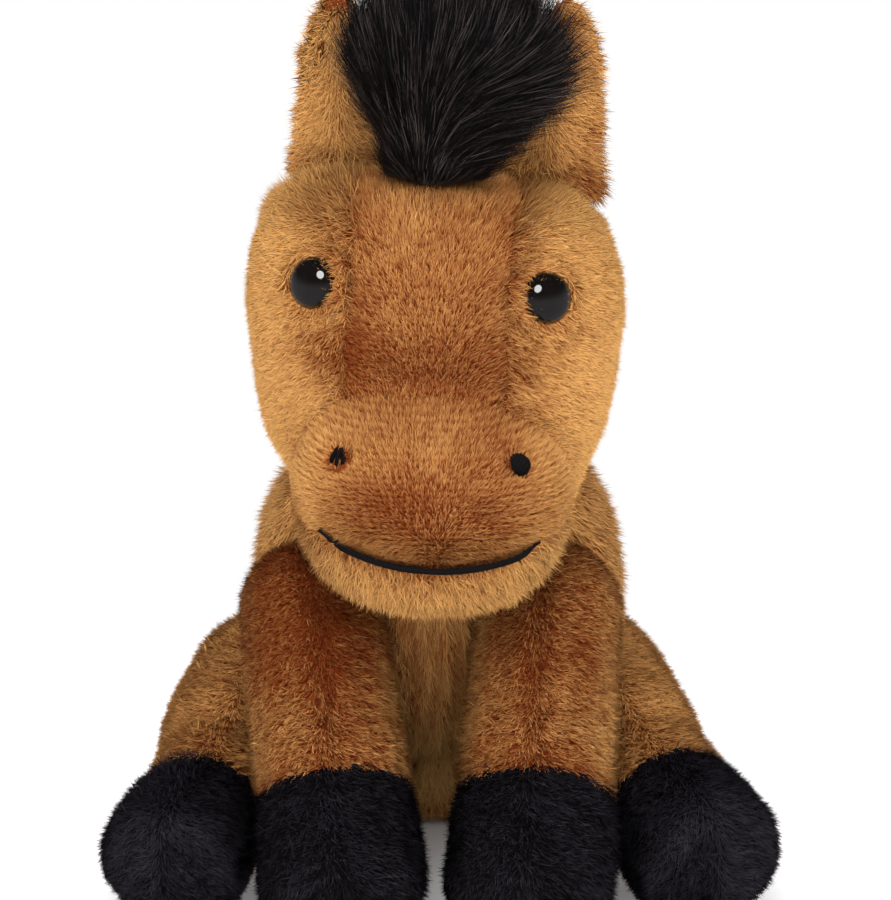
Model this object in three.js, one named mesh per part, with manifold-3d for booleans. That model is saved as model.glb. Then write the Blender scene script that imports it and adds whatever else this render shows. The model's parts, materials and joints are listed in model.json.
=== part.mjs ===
// A sitting plush horse: a big seamed head on a barrel body, safety eyes, an embroidered face, a
// standing forelock and four stuffed legs. Millimetres, +Z up, the face towards -Y, the horse's own
// left towards +X. The origin is the middle of the flat seat.
import * as THREE from 'three';
import { mergeVertices } from 'three/addons/utils/BufferGeometryUtils.js';
import Module from 'manifold-3d';

const wasm = await Module();
wasm.setup();

// Fabric and seams
const seamGap = 0.3;
const coverWall = 3.2;
const restCut = 0.5;
const cutterReach = 300;

// Torso: a rump that sits flat, and a chest that leans forward under the head
const rumpHalfWidth = 40;
const rumpHalfDepth = 33;
const rumpHalfHeight = 36;
const rumpBack = 2;
const rumpAside = 3;
const rumpLift = 34;
const chestHalfWidth = 42;
const chestHalfDepth = 22;
const chestHalfHeight = 39;
const chestForward = 33;
const chestLift = 64;
const gussetTopHalfWidth = 12;
const gussetFootHalfWidth = 4.5;
const gussetTop = 78;
const gussetWaistHalfWidth = 8;
const gussetWaist = 54;
const gussetFoot = 8;
const gussetBack = 22;
const pouchHalfWidth = 27;
const pouchHalfDepth = 21;
const pouchTop = 21;

// Neck: the ball of stuffed fabric that the head turns on
const neckRadius = 26;
const neckForward = 40;
const neckLift = 94;
const neckAside = 2.3;
const nodRoom = 5;

// Head, measured from the middle of the neck ball
const craniumHalfWidth = 41;
const craniumHalfDepth = 36;
const craniumHalfHeight = 38;
const craniumForward = 6;
const craniumLift = 34;
const crownHalfWidth = 39.5;
const crownHalfDepth = 27;
const crownHalfHeight = 20;
const crownForward = 5;
const crownLift = 52;
const muzzleHalfWidth = 31.5;
const muzzleHalfDepth = 29;
const muzzleHalfHeight = 19;
const muzzleForward = 37;
const muzzleLift = 9;
const muzzleAside = 3;
const chinHalfWidth = 26;
const chinHalfDepth = 25;
const chinHalfHeight = 12.5;
const chinForward = 35;
const chinDrop = 6;
const foreheadGussetHalfWidth = 17;
const muzzleSeamForward = 43;
const muzzleSeamLift = 30;

// Safety eyes and their locking washers
const eyeRadius = 6.1;
const eyeDome = 4.4;
const eyeRim = 1;
const eyeSink = 1.6;
const eyeSpread = 26.6;
const eyeLift = 52.6;
const stemRadius = 1.7;
const stemRib = 0.5;
const stemLength = 12;
const stemTip = 1.2;
const washerRadius = 7;
const washerWall = 1.2;
const washerTooth = 1.1;

// Embroidery
const nostrilHalfWidth = 2.1;
const nostrilHalfHeight = 3;
const nostrilHalfDepth = 1.5;
const nostrilSpread = 20;
const nostrilLift = 20.6;
const mouthHalfWidth = 23;
const mouthThread = 0.9;
const mouthDrop = 4.3;
const mouthCurl = 4.6;
const mouthSink = 0.4;

// Ears
const earSpread = 24;
const earBack = 1;
const earHeight = 43;
const earHalfWidth = 10.5;
const earRootRadius = 4;
const earRootHalfLength = 8;
const earLayer = 3.4;
const earCup = 3.6;
const earRise = 0.6;

// Long pile
const forelockForward = 22;
const forelockHeight = 45;
const forelockHalfWidth = 25;
const forelockRootHalfWidth = 11;
const forelockHalfDepth = 6;
const maneHalfWidth = 7;
const maneDepth = 7;
const crestMargin = 5;
const crestFoot = 8;
const neckManeTop = 104;
const neckManeFoot = 66;

// Legs
const shoulderForward = 54;
const shoulderRadius = 16.6;
const frontLegLength = 75;
const frontWaist = 17;
const frontCuff = 18.4;
const frontHoofRadius = 18.9;
const frontHoofLength = 28;
const hoofSpacing = 1.2;
const hipSpread = 36;
const hipForward = 22;
const hipRadius = 22;
const hindLegLength = 78;
const hindWaist = 16.9;
const hindCuff = 16.4;
const hindHoofRadius = 17.6;
const hindHoofLength = 27;
const hoofRounding = 8;
const soleRadius = 12.8;
const limbOpening = 7;

// Tail
const tailRootRadius = 5;
const tailLength = 36;
const tailHalfWidth = 9;
const tailHalfDepth = 6;
const tailLift = 40;

// Angles of rest and the ends of travel, in degrees
const headRoll = 3;
const headYaw = -3.5;
const nodBack = -10;
const nodDown = 4;
const earSwingForward = 8;
const earSwingBack = 20;
const tailLiftAngle = 40;
const frontLegSlope = 50;
const frontLegToeIn = 8.6;
const frontLegTwist = 2;
const frontLegSwing = 10;
const hindLegSlope = 14.7;
const hindLegSplay = 21.5;
const hindLegTwist = 3.2;
const hindLegSwing = 20;
const earLean = 3.5;
const earTurn = 25;
const muzzleSeamTilt = 25;
const tailSlope = 24;
const ballArc = 95;

// Shape shares: how square each form is, how tightly lumps melt together, and where a leg swells
const torsoSquareShare = 2.9;
const headSquareShare = 2.6;
const crownSquareShare = 3.2;
const softSquareShare = 2.2;
const meltShare = 12;
const legPlaceShares = [0.18, 0.42, 0.7];
const legSwellShare = 0.5;
const forelockLeanShare = 0.25;
const forelockSwellShare = 0.68;
const forelockTopShare = 0.3;
const forelockMiddleShare = 0.5;
const forelockStemShare = 0.33;
const tailDropShare = 0.55;
const tailSwellShare = 0.45;
const earOutlineShares = [
  [0.04, 0.66],
  [0.2, 0.84],
  [0.42, 1],
  [0.62, 0.94],
  [0.8, 0.72],
  [0.93, 0.42],
];
const liningWidthShare = 0.8;
const liningHeightShare = 0.9;
const smileShares = [-1.04, -1, -0.8, -0.4, 0, 0.4, 0.8, 1, 1.04];

const fineDetail = 5;
const coarseDetail = 3;
const turnSides = 12;
const arcSteps = 5;
const roundingSteps = 3;
const smileSteps = 10;
const ballSides = 14;
const ballRows = 8;
const stemRibs = 3;
const washerTeeth = 8;
const right = -1;
const left = 1;

const browns = { plush: '#a9692f', light: '#c68f55', lining: '#c9965c' };
const blacks = { plush: '#1b191b', pile: '#141214', thread: '#0c0a0b', plastic: '#050505' };
const fills = { fibre: '#efece4', pellets: '#d9d4c6', washer: '#e9e9e6' };

function radians(degrees) {
  return THREE.MathUtils.degToRad(degrees);
}

// Turn a geometry into a solid that can be cut, and back
function solidOf(geometry) {
  const bare = geometry.clone();
  bare.deleteAttribute('normal');
  bare.deleteAttribute('uv');
  const merged = mergeVertices(bare);
  const index = merged.index.array;
  const kept = [];
  for (let i = 0; i < index.length; i += 3) {
    const [a, b, c] = [index[i], index[i + 1], index[i + 2]];
    if (a !== b && b !== c && c !== a) kept.push(a, b, c);
  }
  return new wasm.Manifold(new wasm.Mesh({
    numProp: 3,
    vertProperties: new Float32Array(merged.attributes.position.array),
    triVerts: new Uint32Array(kept),
  }));
}

function geometryOf(solid) {
  const mesh = solid.getMesh();
  const geometry = new THREE.BufferGeometry();
  geometry.setAttribute('position', new THREE.BufferAttribute(mesh.vertProperties, 3));
  geometry.setIndex(new THREE.BufferAttribute(mesh.triVerts, 1));
  return geometry;
}

function cut(geometry, ...tools) {
  return geometryOf(tools.reduce((body, tool) => body.subtract(solidOf(tool)), solidOf(geometry)));
}

function join(geometry, ...others) {
  return geometryOf(others.reduce((body, other) => body.add(solidOf(other)), solidOf(geometry)));
}

function common(geometry, ...others) {
  return geometryOf(others.reduce((body, other) => body.intersect(solidOf(other)), solidOf(geometry)));
}

// Soft forms: rounded lumps that melt into one another
function lump(x, y, z, halfWidth, halfDepth, halfHeight, square) {
  return { x, y, z, halfWidth, halfDepth, halfHeight, square };
}

function fullness(lumps, p) {
  let sum = 0;
  for (const l of lumps) {
    const across = Math.abs((p.x - l.x) / l.halfWidth) ** l.square;
    const deep = Math.abs((p.y - l.y) / l.halfDepth) ** l.square;
    const high = Math.abs((p.z - l.z) / l.halfHeight) ** l.square;
    sum += Math.exp(meltShare * (1 - (across + deep + high) ** (1 / l.square)));
  }
  return sum;
}

function skinPoint(lumps, centre, direction) {
  let inside = 0;
  let outside = cutterReach;
  for (let step = 0; step < 40; step += 1) {
    const middle = (inside + outside) / 2;
    const p = centre.clone().addScaledVector(direction, middle);
    if (fullness(lumps, p) > 1) inside = middle;
    else outside = middle;
  }
  return centre.clone().addScaledVector(direction, inside);
}

function outward(lumps, p) {
  const normal = new THREE.Vector3();
  for (const axis of ['x', 'y', 'z']) {
    const ahead = p.clone();
    const behind = p.clone();
    ahead[axis] += seamGap;
    behind[axis] -= seamGap;
    normal[axis] = fullness(lumps, behind) - fullness(lumps, ahead);
  }
  return normal.normalize();
}

function softForm(lumps, centre, detail, inset) {
  const ball = new THREE.IcosahedronGeometry(1, detail);
  ball.deleteAttribute('normal');
  ball.deleteAttribute('uv');
  const form = mergeVertices(ball);
  const place = form.attributes.position;
  const direction = new THREE.Vector3();
  for (let i = 0; i < place.count; i += 1) {
    direction.fromBufferAttribute(place, i).normalize();
    const skin = skinPoint(lumps, centre, direction);
    skin.addScaledVector(outward(lumps, skin), -inset);
    place.setXYZ(i, skin.x, skin.y, skin.z);
  }
  return form;
}

function ballAt(x, y, z, radius) {
  return new THREE.SphereGeometry(radius, ballSides, ballRows).rotateX(radians(90)).translate(x, y, z);
}

// A ball whose flats, not only its corners, lie outside the radius, so that a ball can turn in it
function clearBall(x, y, z, radius) {
  const flat = Math.cos(Math.PI / ballSides) * Math.cos(Math.PI / (2 * ballRows));
  return ballAt(x, y, z, radius / flat);
}

function blockBetween(lowX, highX, lowY, highY, lowZ, highZ) {
  const block = new THREE.BoxGeometry(highX - lowX, highY - lowY, highZ - lowZ);
  return block.translate((lowX + highX) / 2, (lowY + highY) / 2, (lowZ + highZ) / 2);
}

function below(height) {
  return blockBetween(-cutterReach, cutterReach, -cutterReach, cutterReach, -cutterReach, height);
}

function turned(geometry, pivot, axis, degrees) {
  const turn = new THREE.Matrix4().makeRotationAxis(axis, radians(degrees));
  return geometry.clone().translate(-pivot.x, -pivot.y, -pivot.z)
    .applyMatrix4(turn).translate(pivot.x, pivot.y, pivot.z);
}

// Head forms, in the head's own frame with the neck ball's middle at the origin
const headLumps = [
  lump(0, -craniumForward, craniumLift, craniumHalfWidth, craniumHalfDepth, craniumHalfHeight,
    headSquareShare),
  lump(0, -crownForward, crownLift, crownHalfWidth, crownHalfDepth, crownHalfHeight,
    crownSquareShare),
  lump(muzzleAside, -muzzleForward, muzzleLift, muzzleHalfWidth, muzzleHalfDepth, muzzleHalfHeight,
    headSquareShare),
  lump(muzzleAside, -chinForward, -chinDrop, chinHalfWidth, chinHalfDepth, chinHalfHeight, softSquareShare),
];
const headMiddle = new THREE.Vector3(0, -(craniumForward + muzzleForward) / 2, (craniumLift + muzzleLift) / 2);
const neckPoint = new THREE.Vector3(-neckAside, -neckForward, neckLift);
const headTurn = new THREE.Euler(0, radians(headRoll), radians(headYaw), 'XYZ');
const nodAxis = new THREE.Vector3(1, 0, 0);

function headForm(inset, detail = coarseDetail) {
  return softForm(headLumps, headMiddle, detail, inset);
}

// The head in the torso's frame, grown on all sides, in the middle of its nod
function headRoom(grow) {
  const rest = new THREE.Matrix4().makeRotationFromEuler(headTurn).setPosition(neckPoint);
  return turned(headForm(-grow).applyMatrix4(rest), neckPoint, nodAxis, (nodBack + nodDown) / 2);
}

// The skin of the head straight in front of a place on the face
function facePoint(x, z) {
  const from = new THREE.Vector3(x, headMiddle.y, z);
  return skinPoint(headLumps, from, new THREE.Vector3(0, -1, 0));
}

function crownPoint(x, y) {
  const from = new THREE.Vector3(x, y, craniumLift);
  return skinPoint(headLumps, from, new THREE.Vector3(0, 0, 1));
}

function placeAlong(geometry, point, direction) {
  const turn = new THREE.Quaternion().setFromUnitVectors(new THREE.Vector3(0, 1, 0), direction);
  return geometry.applyQuaternion(turn).translate(point.x, point.y, point.z);
}

// Legs: surfaces of revolution from a ball at the joint to a rounded hoof, measured along the leg
function legSizes(side, kind) {
  const front = kind === 'front';
  const slope = radians(front ? frontLegSlope : hindLegSlope);
  const splay = radians(front ? side * frontLegTwist - frontLegToeIn : hindLegSplay + side * hindLegTwist);
  const hoof = front ? frontHoofRadius : hindHoofRadius;
  const length = front ? frontLegLength : hindLegLength;
  const direction = new THREE.Vector3(
    side * Math.sin(splay) * Math.cos(slope),
    -Math.cos(splay) * Math.cos(slope),
    -Math.sin(slope),
  );
  const soleHeight = hoofRounding * (1 - Math.sin(slope)) + (hoof - hoofRounding) * Math.cos(slope) - restCut;
  const shoulderSpread = frontHoofRadius + hoofSpacing - length * Math.cos(slope) * Math.sin(splay);
  const joint = new THREE.Vector3(
    front ? side * shoulderSpread : side * hipSpread - rumpAside,
    -(front ? shoulderForward : hipForward),
    soleHeight + length * Math.sin(slope),
  );
  const upAndOut = new THREE.Vector3(side, 0, 1);
  const axis = front ? new THREE.Vector3(-1, 0, 0)
    : new THREE.Vector3().crossVectors(direction, upAndOut).normalize();
  return {
    name: `${kind}_leg_${side === left ? 'left' : 'right'}`,
    direction,
    joint,
    axis,
    length,
    hoof,
    swing: front ? frontLegSwing : hindLegSwing,
    ball: front ? shoulderRadius : hipRadius,
    waist: front ? frontWaist : hindWaist,
    cuff: front ? frontCuff : hindCuff,
    border: length - (front ? frontHoofLength : hindHoofLength),
  };
}

function legOutline(leg, inset) {
  const points = [];
  const reach = leg.ball - inset;
  for (let step = 0; step <= arcSteps; step += 1) {
    const angle = (step / arcSteps) * radians(ballArc);
    points.push(new THREE.Vector2(reach * Math.sin(angle), -reach * Math.cos(angle)));
  }
  const free = leg.border - leg.ball;
  const swell = THREE.MathUtils.lerp(leg.waist, leg.ball, legSwellShare);
  points.push(new THREE.Vector2(swell - inset, leg.ball + free * legPlaceShares[0]));
  points.push(new THREE.Vector2(leg.waist - inset, leg.ball + free * legPlaceShares[1]));
  points.push(new THREE.Vector2(leg.cuff - inset, leg.border));
  const rounding = leg.length - hoofRounding;
  points.push(new THREE.Vector2(leg.hoof - inset, leg.border + (rounding - leg.border) * legPlaceShares[2]));
  for (let step = 0; step <= roundingSteps; step += 1) {
    const angle = (step / roundingSteps) * radians(90);
    const curve = hoofRounding - inset;
    points.push(new THREE.Vector2(
      leg.hoof - hoofRounding + curve * Math.cos(angle),
      rounding + curve * Math.sin(angle),
    ));
  }
  points.push(new THREE.Vector2(0, leg.length - inset));
  points[0].x = 0;
  return points;
}

// The part of an outline between two places along the leg
function stretch(outline, from, to) {
  const at = (place) => {
    const next = outline.findIndex((p) => p.y >= place);
    const [a, b] = [outline[next - 1], outline[next]];
    return a.clone().lerp(b, (place - a.y) / (b.y - a.y));
  };
  const inner = outline.filter((p) => p.y > from + seamGap && p.y < to - seamGap);
  return [at(from), ...inner, at(to)];
}

function revolve(profile) {
  return new THREE.LatheGeometry(profile, turnSides);
}

function wallBetween(outer, inner) {
  const loop = [...outer, ...inner.reverse()];
  return revolve([...loop, loop[0].clone()]);
}

function mouthOfBall(radius) {
  return -Math.sqrt(radius ** 2 - limbOpening ** 2);
}

function legCover(leg) {
  const outer = stretch(legOutline(leg, 0), mouthOfBall(leg.ball), leg.border);
  const inner = stretch(legOutline(leg, coverWall), mouthOfBall(leg.ball - coverWall), leg.border);
  return wallBetween(outer, inner);
}

function legHoof(leg) {
  const top = leg.border + seamGap;
  const side = (inset) => [
    ...stretch(legOutline(leg, inset), top, leg.length - hoofRounding),
    ...legOutline(leg, inset).filter((p) => p.y > leg.length - hoofRounding && p.x > soleRadius),
    new THREE.Vector2(soleRadius, leg.length - inset),
  ];
  return wallBetween(side(0), side(coverWall));
}

function legSole(leg) {
  const radius = soleRadius - seamGap;
  return revolve([
    new THREE.Vector2(0, leg.length - coverWall),
    new THREE.Vector2(radius, leg.length - coverWall),
    new THREE.Vector2(radius, leg.length),
    new THREE.Vector2(0, leg.length),
  ]);
}

// The space that a leg passes through: its ball, and the limb beyond it fanned out over its swing
function legRoom(leg, swing) {
  const flat = Math.cos(Math.PI / turnSides);
  const beyondBall = legOutline(leg, -2 * seamGap).filter((p) => p.y > 0);
  const limb = revolve([
    new THREE.Vector2(0, 0),
    ...beyondBall.map((p) => new THREE.Vector2(p.x / flat, p.y)),
  ]);
  const place = limb.attributes.position;
  for (let i = 0; i < place.count; i += 1) {
    const [x, y, z] = [place.getX(i), place.getY(i), place.getZ(i)];
    const share = THREE.MathUtils.clamp(3 * z / Math.hypot(x, z, seamGap), -1, 1);
    const angle = radians(swing / 2) * share;
    place.setXYZ(i, x, y * Math.cos(angle) - z * Math.sin(angle), y * Math.sin(angle) + z * Math.cos(angle));
  }
  const across = new THREE.Vector3().crossVectors(leg.axis, leg.direction);
  limb.applyMatrix4(new THREE.Matrix4().makeBasis(leg.axis, leg.direction, across));
  limb.translate(leg.joint.x, leg.joint.y, leg.joint.z);
  const ball = clearBall(leg.joint.x, leg.joint.y, leg.joint.z, leg.ball + seamGap);
  return join(ball, turned(limb, leg.joint, leg.axis, swing / 2));
}

// Torso forms
const torsoLumps = [
  lump(-rumpAside, rumpBack, rumpLift, rumpHalfWidth, rumpHalfDepth, rumpHalfHeight, torsoSquareShare),
  lump(0, -chestForward, chestLift, chestHalfWidth, chestHalfDepth, chestHalfHeight, torsoSquareShare),
];
const torsoMiddle = new THREE.Vector3(0, -chestForward / 2, (rumpLift + chestLift) / 2);
const rumpMiddle = new THREE.Vector3(-rumpAside, 0, rumpLift);
const seatDepth = skinPoint(torsoLumps, rumpMiddle, new THREE.Vector3(0, 0, -1)).z;
const seatShift = -restCut - seatDepth;

function torsoForm(inset, detail) {
  const form = softForm(torsoLumps, torsoMiddle, detail, inset).translate(0, 0, seatShift);
  const trimmed = cut(form, below(inset), headRoom(nodRoom + inset));
  return join(trimmed, ballAt(neckPoint.x, neckPoint.y, neckPoint.z, neckRadius - inset));
}

function gussetRegion(grow) {
  const outline = new THREE.Shape([
    new THREE.Vector2(-gussetFootHalfWidth - grow, gussetFoot - grow),
    new THREE.Vector2(gussetFootHalfWidth + grow, gussetFoot - grow),
    new THREE.Vector2(gussetWaistHalfWidth + grow, gussetWaist),
    new THREE.Vector2(gussetTopHalfWidth + grow, gussetTop + grow),
    new THREE.Vector2(-gussetTopHalfWidth - grow, gussetTop + grow),
    new THREE.Vector2(-gussetWaistHalfWidth - grow, gussetWaist),
  ]);
  const region = new THREE.ExtrudeGeometry(outline, { depth: cutterReach, bevelEnabled: false });
  return region.rotateX(radians(90)).translate(0, -gussetBack, 0);
}

function maneRegion(low, high, front) {
  return blockBetween(-maneHalfWidth, maneHalfWidth, front, cutterReach, low, high);
}

function plush(color) {
  return new THREE.MeshStandardMaterial({ color, roughness: 0.95, metalness: 0 });
}

function piece(name, geometry, material) {
  const mesh = new THREE.Mesh(geometry, material);
  mesh.name = name;
  return mesh;
}

function makeTorso(legs, tailPoint) {
  const group = new THREE.Group();
  const sockets = legs.map((leg) => legRoom(leg, leg.swing));
  const tailSocket = clearBall(tailPoint.x, tailPoint.y, tailPoint.z, tailRootRadius + seamGap);
  const lining = torsoForm(coverWall, coarseDetail);
  const packed = torsoForm(coverWall + seamGap, coarseDetail);
  const cover = cut(torsoForm(0, fineDetail - 1), lining, ...sockets, tailSocket);
  const fill = cut(packed, ...sockets, tailSocket);
  const pouch = new THREE.SphereGeometry(1, turnSides, turnSides / 2);
  const place = (grow) => pouch.clone()
    .scale(pouchHalfWidth + grow, pouchHalfDepth + grow, pouchTop - coverWall + grow)
    .translate(-rumpAside, 0, coverWall);
  group.add(piece('torso_cover', cut(cover, gussetRegion(seamGap)), plush(browns.plush)));
  group.add(piece('belly_gusset', common(cover, gussetRegion(0)), plush(browns.light)));
  group.add(piece('torso_stuffing', cut(fill, place(seamGap)), plush(fills.fibre)));
  group.add(piece('pellet_pouch', common(fill, place(0)), plush(fills.pellets)));
  group.add(makeNeckMane());
  return group;
}

function makeNeckMane() {
  const grown = softForm(torsoLumps, torsoMiddle, coarseDetail, -maneDepth);
  const skin = softForm(torsoLumps, torsoMiddle, fineDetail - 1, -seamGap);
  const strip = cut(grown.translate(0, 0, seatShift), skin.translate(0, 0, seatShift), headRoom(nodRoom));
  const ball = clearBall(neckPoint.x, neckPoint.y, neckPoint.z, neckRadius + seamGap);
  const mane = cut(common(strip, maneRegion(neckManeFoot, neckManeTop, 0)), ball);
  return piece('neck_mane', mane, plush(blacks.pile));
}

// Safety eyes: a glossy dome on a ribbed stem, locked by a toothed washer behind the fabric
function eyeProfile(grow) {
  const points = [];
  for (let step = 0; step <= arcSteps; step += 1) {
    const angle = (step / arcSteps) * radians(90);
    points.push(new THREE.Vector2(
      (eyeRadius + grow) * Math.sin(angle),
      eyeRim + (eyeDome - eyeRim) * Math.cos(angle) + grow,
    ));
  }
  points[0].x = 0;
  points.push(new THREE.Vector2(eyeRadius + grow, -grow));
  return points;
}

function eyeForm() {
  const points = eyeProfile(0);
  const pitch = (stemLength - stemTip) / stemRibs;
  points.push(new THREE.Vector2(stemRadius, 0));
  for (let rib = 1; rib <= stemRibs; rib += 1) {
    points.push(new THREE.Vector2(stemRadius, -(rib - 0.5) * pitch));
    points.push(new THREE.Vector2(stemRadius + stemRib, -(rib - 0.5) * pitch));
    points.push(new THREE.Vector2(stemRadius, -rib * pitch));
  }
  points.push(new THREE.Vector2(stemRadius - stemRib, -stemLength));
  points.push(new THREE.Vector2(0, -stemLength));
  return revolve(points.reverse());
}

function eyeRecess() {
  const around = stemRadius + stemRib + seamGap;
  const points = eyeProfile(seamGap);
  points.push(new THREE.Vector2(around, -seamGap));
  points.push(new THREE.Vector2(around, -stemLength - seamGap));
  points.push(new THREE.Vector2(0, -stemLength - seamGap));
  return revolve(points.reverse());
}

function washerPlace() {
  return eyeSink - coverWall - seamGap - washerWall;
}

function washerForm() {
  const bore = stemRadius + stemRib + seamGap;
  const outline = new THREE.Shape();
  outline.absarc(0, 0, washerRadius, 0, 2 * Math.PI, false);
  const teeth = [];
  for (let i = 0; i < 2 * washerTeeth; i += 1) {
    const angle = (-i / washerTeeth) * Math.PI;
    const radius = i % 2 ? bore : bore + washerTooth;
    teeth.push(new THREE.Vector2(radius * Math.cos(angle), radius * Math.sin(angle)));
  }
  outline.holes.push(new THREE.Path(teeth));
  const disc = new THREE.ExtrudeGeometry(outline, { depth: washerWall, bevelEnabled: false, curveSegments: 10 });
  return disc.rotateX(radians(-90)).translate(0, washerPlace(), 0);
}

function washerRecess() {
  const disc = new THREE.CylinderGeometry(washerRadius + seamGap, washerRadius + seamGap,
    washerWall + 2 * seamGap, 2 * turnSides);
  return disc.translate(0, washerPlace() + washerWall / 2, 0);
}

function eyeSeat(side) {
  const skin = facePoint(side * eyeSpread, eyeLift);
  const normal = outward(headLumps, skin);
  return { point: skin.addScaledVector(normal, -eyeSink), normal };
}

// Embroidery: satin stitch ovals and one line, let into the pile
function nostrilForm(side, grow) {
  const skin = facePoint(muzzleAside + side * nostrilSpread, nostrilLift);
  const oval = new THREE.SphereGeometry(1, turnSides, turnSides / 2);
  oval.scale(nostrilHalfWidth + grow, nostrilHalfDepth + grow, nostrilHalfHeight + grow);
  return placeAlong(oval, skin, outward(headLumps, skin));
}

function smileHeight(x) {
  return -mouthDrop + mouthCurl * (x / mouthHalfWidth) ** 2;
}

function mouthForm(grow) {
  const points = smileShares.map((share) => {
    const x = share * (mouthHalfWidth + grow);
    const skin = facePoint(muzzleAside + x, smileHeight(x));
    return skin.addScaledVector(outward(headLumps, skin), -mouthSink);
  });
  const path = new THREE.CatmullRomCurve3(points);
  const section = new THREE.Shape();
  section.absarc(0, 0, mouthThread + grow, 0, 2 * Math.PI, false);
  return new THREE.ExtrudeGeometry(section, { steps: 24, extrudePath: path, curveSegments: 3, bevelEnabled: false });
}

// Everything below the smile, for the chin panel
function chinRegion(grow) {
  const outline = new THREE.Shape();
  outline.moveTo(-cutterReach, -cutterReach);
  outline.lineTo(cutterReach, -cutterReach);
  for (let step = smileSteps; step >= -smileSteps; step -= 1) {
    const x = (step / smileSteps) * craniumHalfWidth;
    outline.lineTo(muzzleAside + x, smileHeight(x) + grow);
  }
  outline.lineTo(-cutterReach, smileHeight(craniumHalfWidth) + grow);
  const region = new THREE.ExtrudeGeometry(outline, { depth: cutterReach, bevelEnabled: false });
  return region.rotateX(radians(90));
}

// Everything in front of the seam where the muzzle is set into the face
function muzzleRegion(grow) {
  const block = blockBetween(-cutterReach, cutterReach, -cutterReach, grow, -cutterReach, cutterReach);
  return block.rotateX(radians(muzzleSeamTilt)).translate(0, -muzzleSeamForward, muzzleSeamLift);
}

function middleRegion(grow) {
  const half = foreheadGussetHalfWidth + grow;
  return blockBetween(-half, half, -cutterReach, cutterReach, -cutterReach, cutterReach);
}

function sideRegion(side) {
  const [low, high] = side === left ? [0, cutterReach] : [-cutterReach, 0];
  return blockBetween(low, high, -cutterReach, cutterReach, -cutterReach, cutterReach);
}

// Ears: a plush leaf and its lining, cupped forwards, on a rolled root that turns in the crown
function earFrame(side) {
  const base = crownPoint(side * earSpread, earBack);
  const group = new THREE.Group();
  group.position.set(base.x, base.y, base.z + earRise);
  group.rotation.set(0, radians(side * earLean), side === left ? radians(earTurn) : 0);
  group.updateMatrix();
  return group;
}

function leafForm(widthShare, heightShare, foot, setBack) {
  const rings = earOutlineShares.map(([place, width]) => {
    const height = foot + (earHeight * heightShare - foot) * place;
    return { height, half: earHalfWidth * width * widthShare };
  });
  const sides = turnSides;
  const positions = [];
  const cup = (x) => earCup * (x / earHalfWidth) ** 2;
  for (const ring of rings) {
    for (let i = 0; i < sides; i += 1) {
      const angle = (i / sides) * 2 * Math.PI;
      const x = ring.half * Math.cos(angle);
      positions.push(x, setBack - cup(x) + (earLayer / 2) * Math.sin(angle), ring.height);
    }
  }
  const low = positions.length / 3;
  positions.push(0, setBack, foot);
  positions.push(0, setBack, earHeight * heightShare);
  const index = [];
  for (let ring = 0; ring + 1 < rings.length; ring += 1) {
    for (let i = 0; i < sides; i += 1) {
      const a = ring * sides + i;
      const b = ring * sides + ((i + 1) % sides);
      index.push(a, b, b + sides, a, b + sides, a + sides);
    }
  }
  const last = (rings.length - 1) * sides;
  for (let i = 0; i < sides; i += 1) {
    const next = (i + 1) % sides;
    index.push(low, next, i);
    index.push(low + 1, last + i, last + next);
  }
  const form = new THREE.BufferGeometry();
  form.setAttribute('position', new THREE.Float32BufferAttribute(positions, 3));
  form.setIndex(index);
  return form;
}

function earRoot(grow) {
  const roll = new THREE.CapsuleGeometry(earRootRadius + grow, 2 * earRootHalfLength, 3, turnSides);
  return roll.rotateZ(radians(90));
}

function makeEar(side) {
  const name = side === left ? 'ear_left' : 'ear_right';
  const ear = earFrame(side);
  const setBack = (earLayer + seamGap) / 2;
  const outer = join(leafForm(1, 1, 0, setBack), earRoot(0));
  const foot = earRootRadius + seamGap;
  const lining = leafForm(liningWidthShare, liningHeightShare, foot, -setBack);
  ear.add(piece(`${name}_outer`, outer, plush(browns.plush)));
  ear.add(piece(`${name}_lining`, cut(lining, earRoot(seamGap)), plush(browns.lining)));
  return ear;
}

function makeForelock() {
  const root = crownPoint(0, -forelockForward);
  const lean = forelockForward * forelockLeanShare;
  const middleHeight = root.z + forelockHeight * forelockMiddleShare;
  const lumps = [
    lump(0, root.y, root.z + forelockHalfDepth, forelockRootHalfWidth, forelockHalfDepth,
      2 * forelockHalfDepth, softSquareShare),
    lump(0, root.y - lean / 2, middleHeight, (forelockRootHalfWidth + forelockHalfWidth) / 2,
      forelockHalfDepth, forelockHeight * forelockStemShare, softSquareShare),
    lump(0, root.y - lean, root.z + forelockHeight * forelockSwellShare, forelockHalfWidth, forelockHalfDepth,
      forelockHeight * forelockTopShare, softSquareShare),
  ];
  const middle = new THREE.Vector3(0, root.y - lean / 2, middleHeight);
  const tuft = softForm(lumps, middle, coarseDetail, 0);
  return piece('forelock', cut(tuft, headForm(-seamGap, fineDetail)), plush(blacks.pile));
}

function makeCrestMane() {
  const strip = cut(headForm(-maneDepth), headForm(-seamGap, fineDetail));
  const behindEars = maneRegion(crestFoot, cutterReach, earBack + crestMargin);
  const ball = ballAt(0, 0, 0, neckRadius + maneDepth);
  return piece('crest_mane', cut(common(strip, behindEars), ball), plush(blacks.pile));
}

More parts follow.
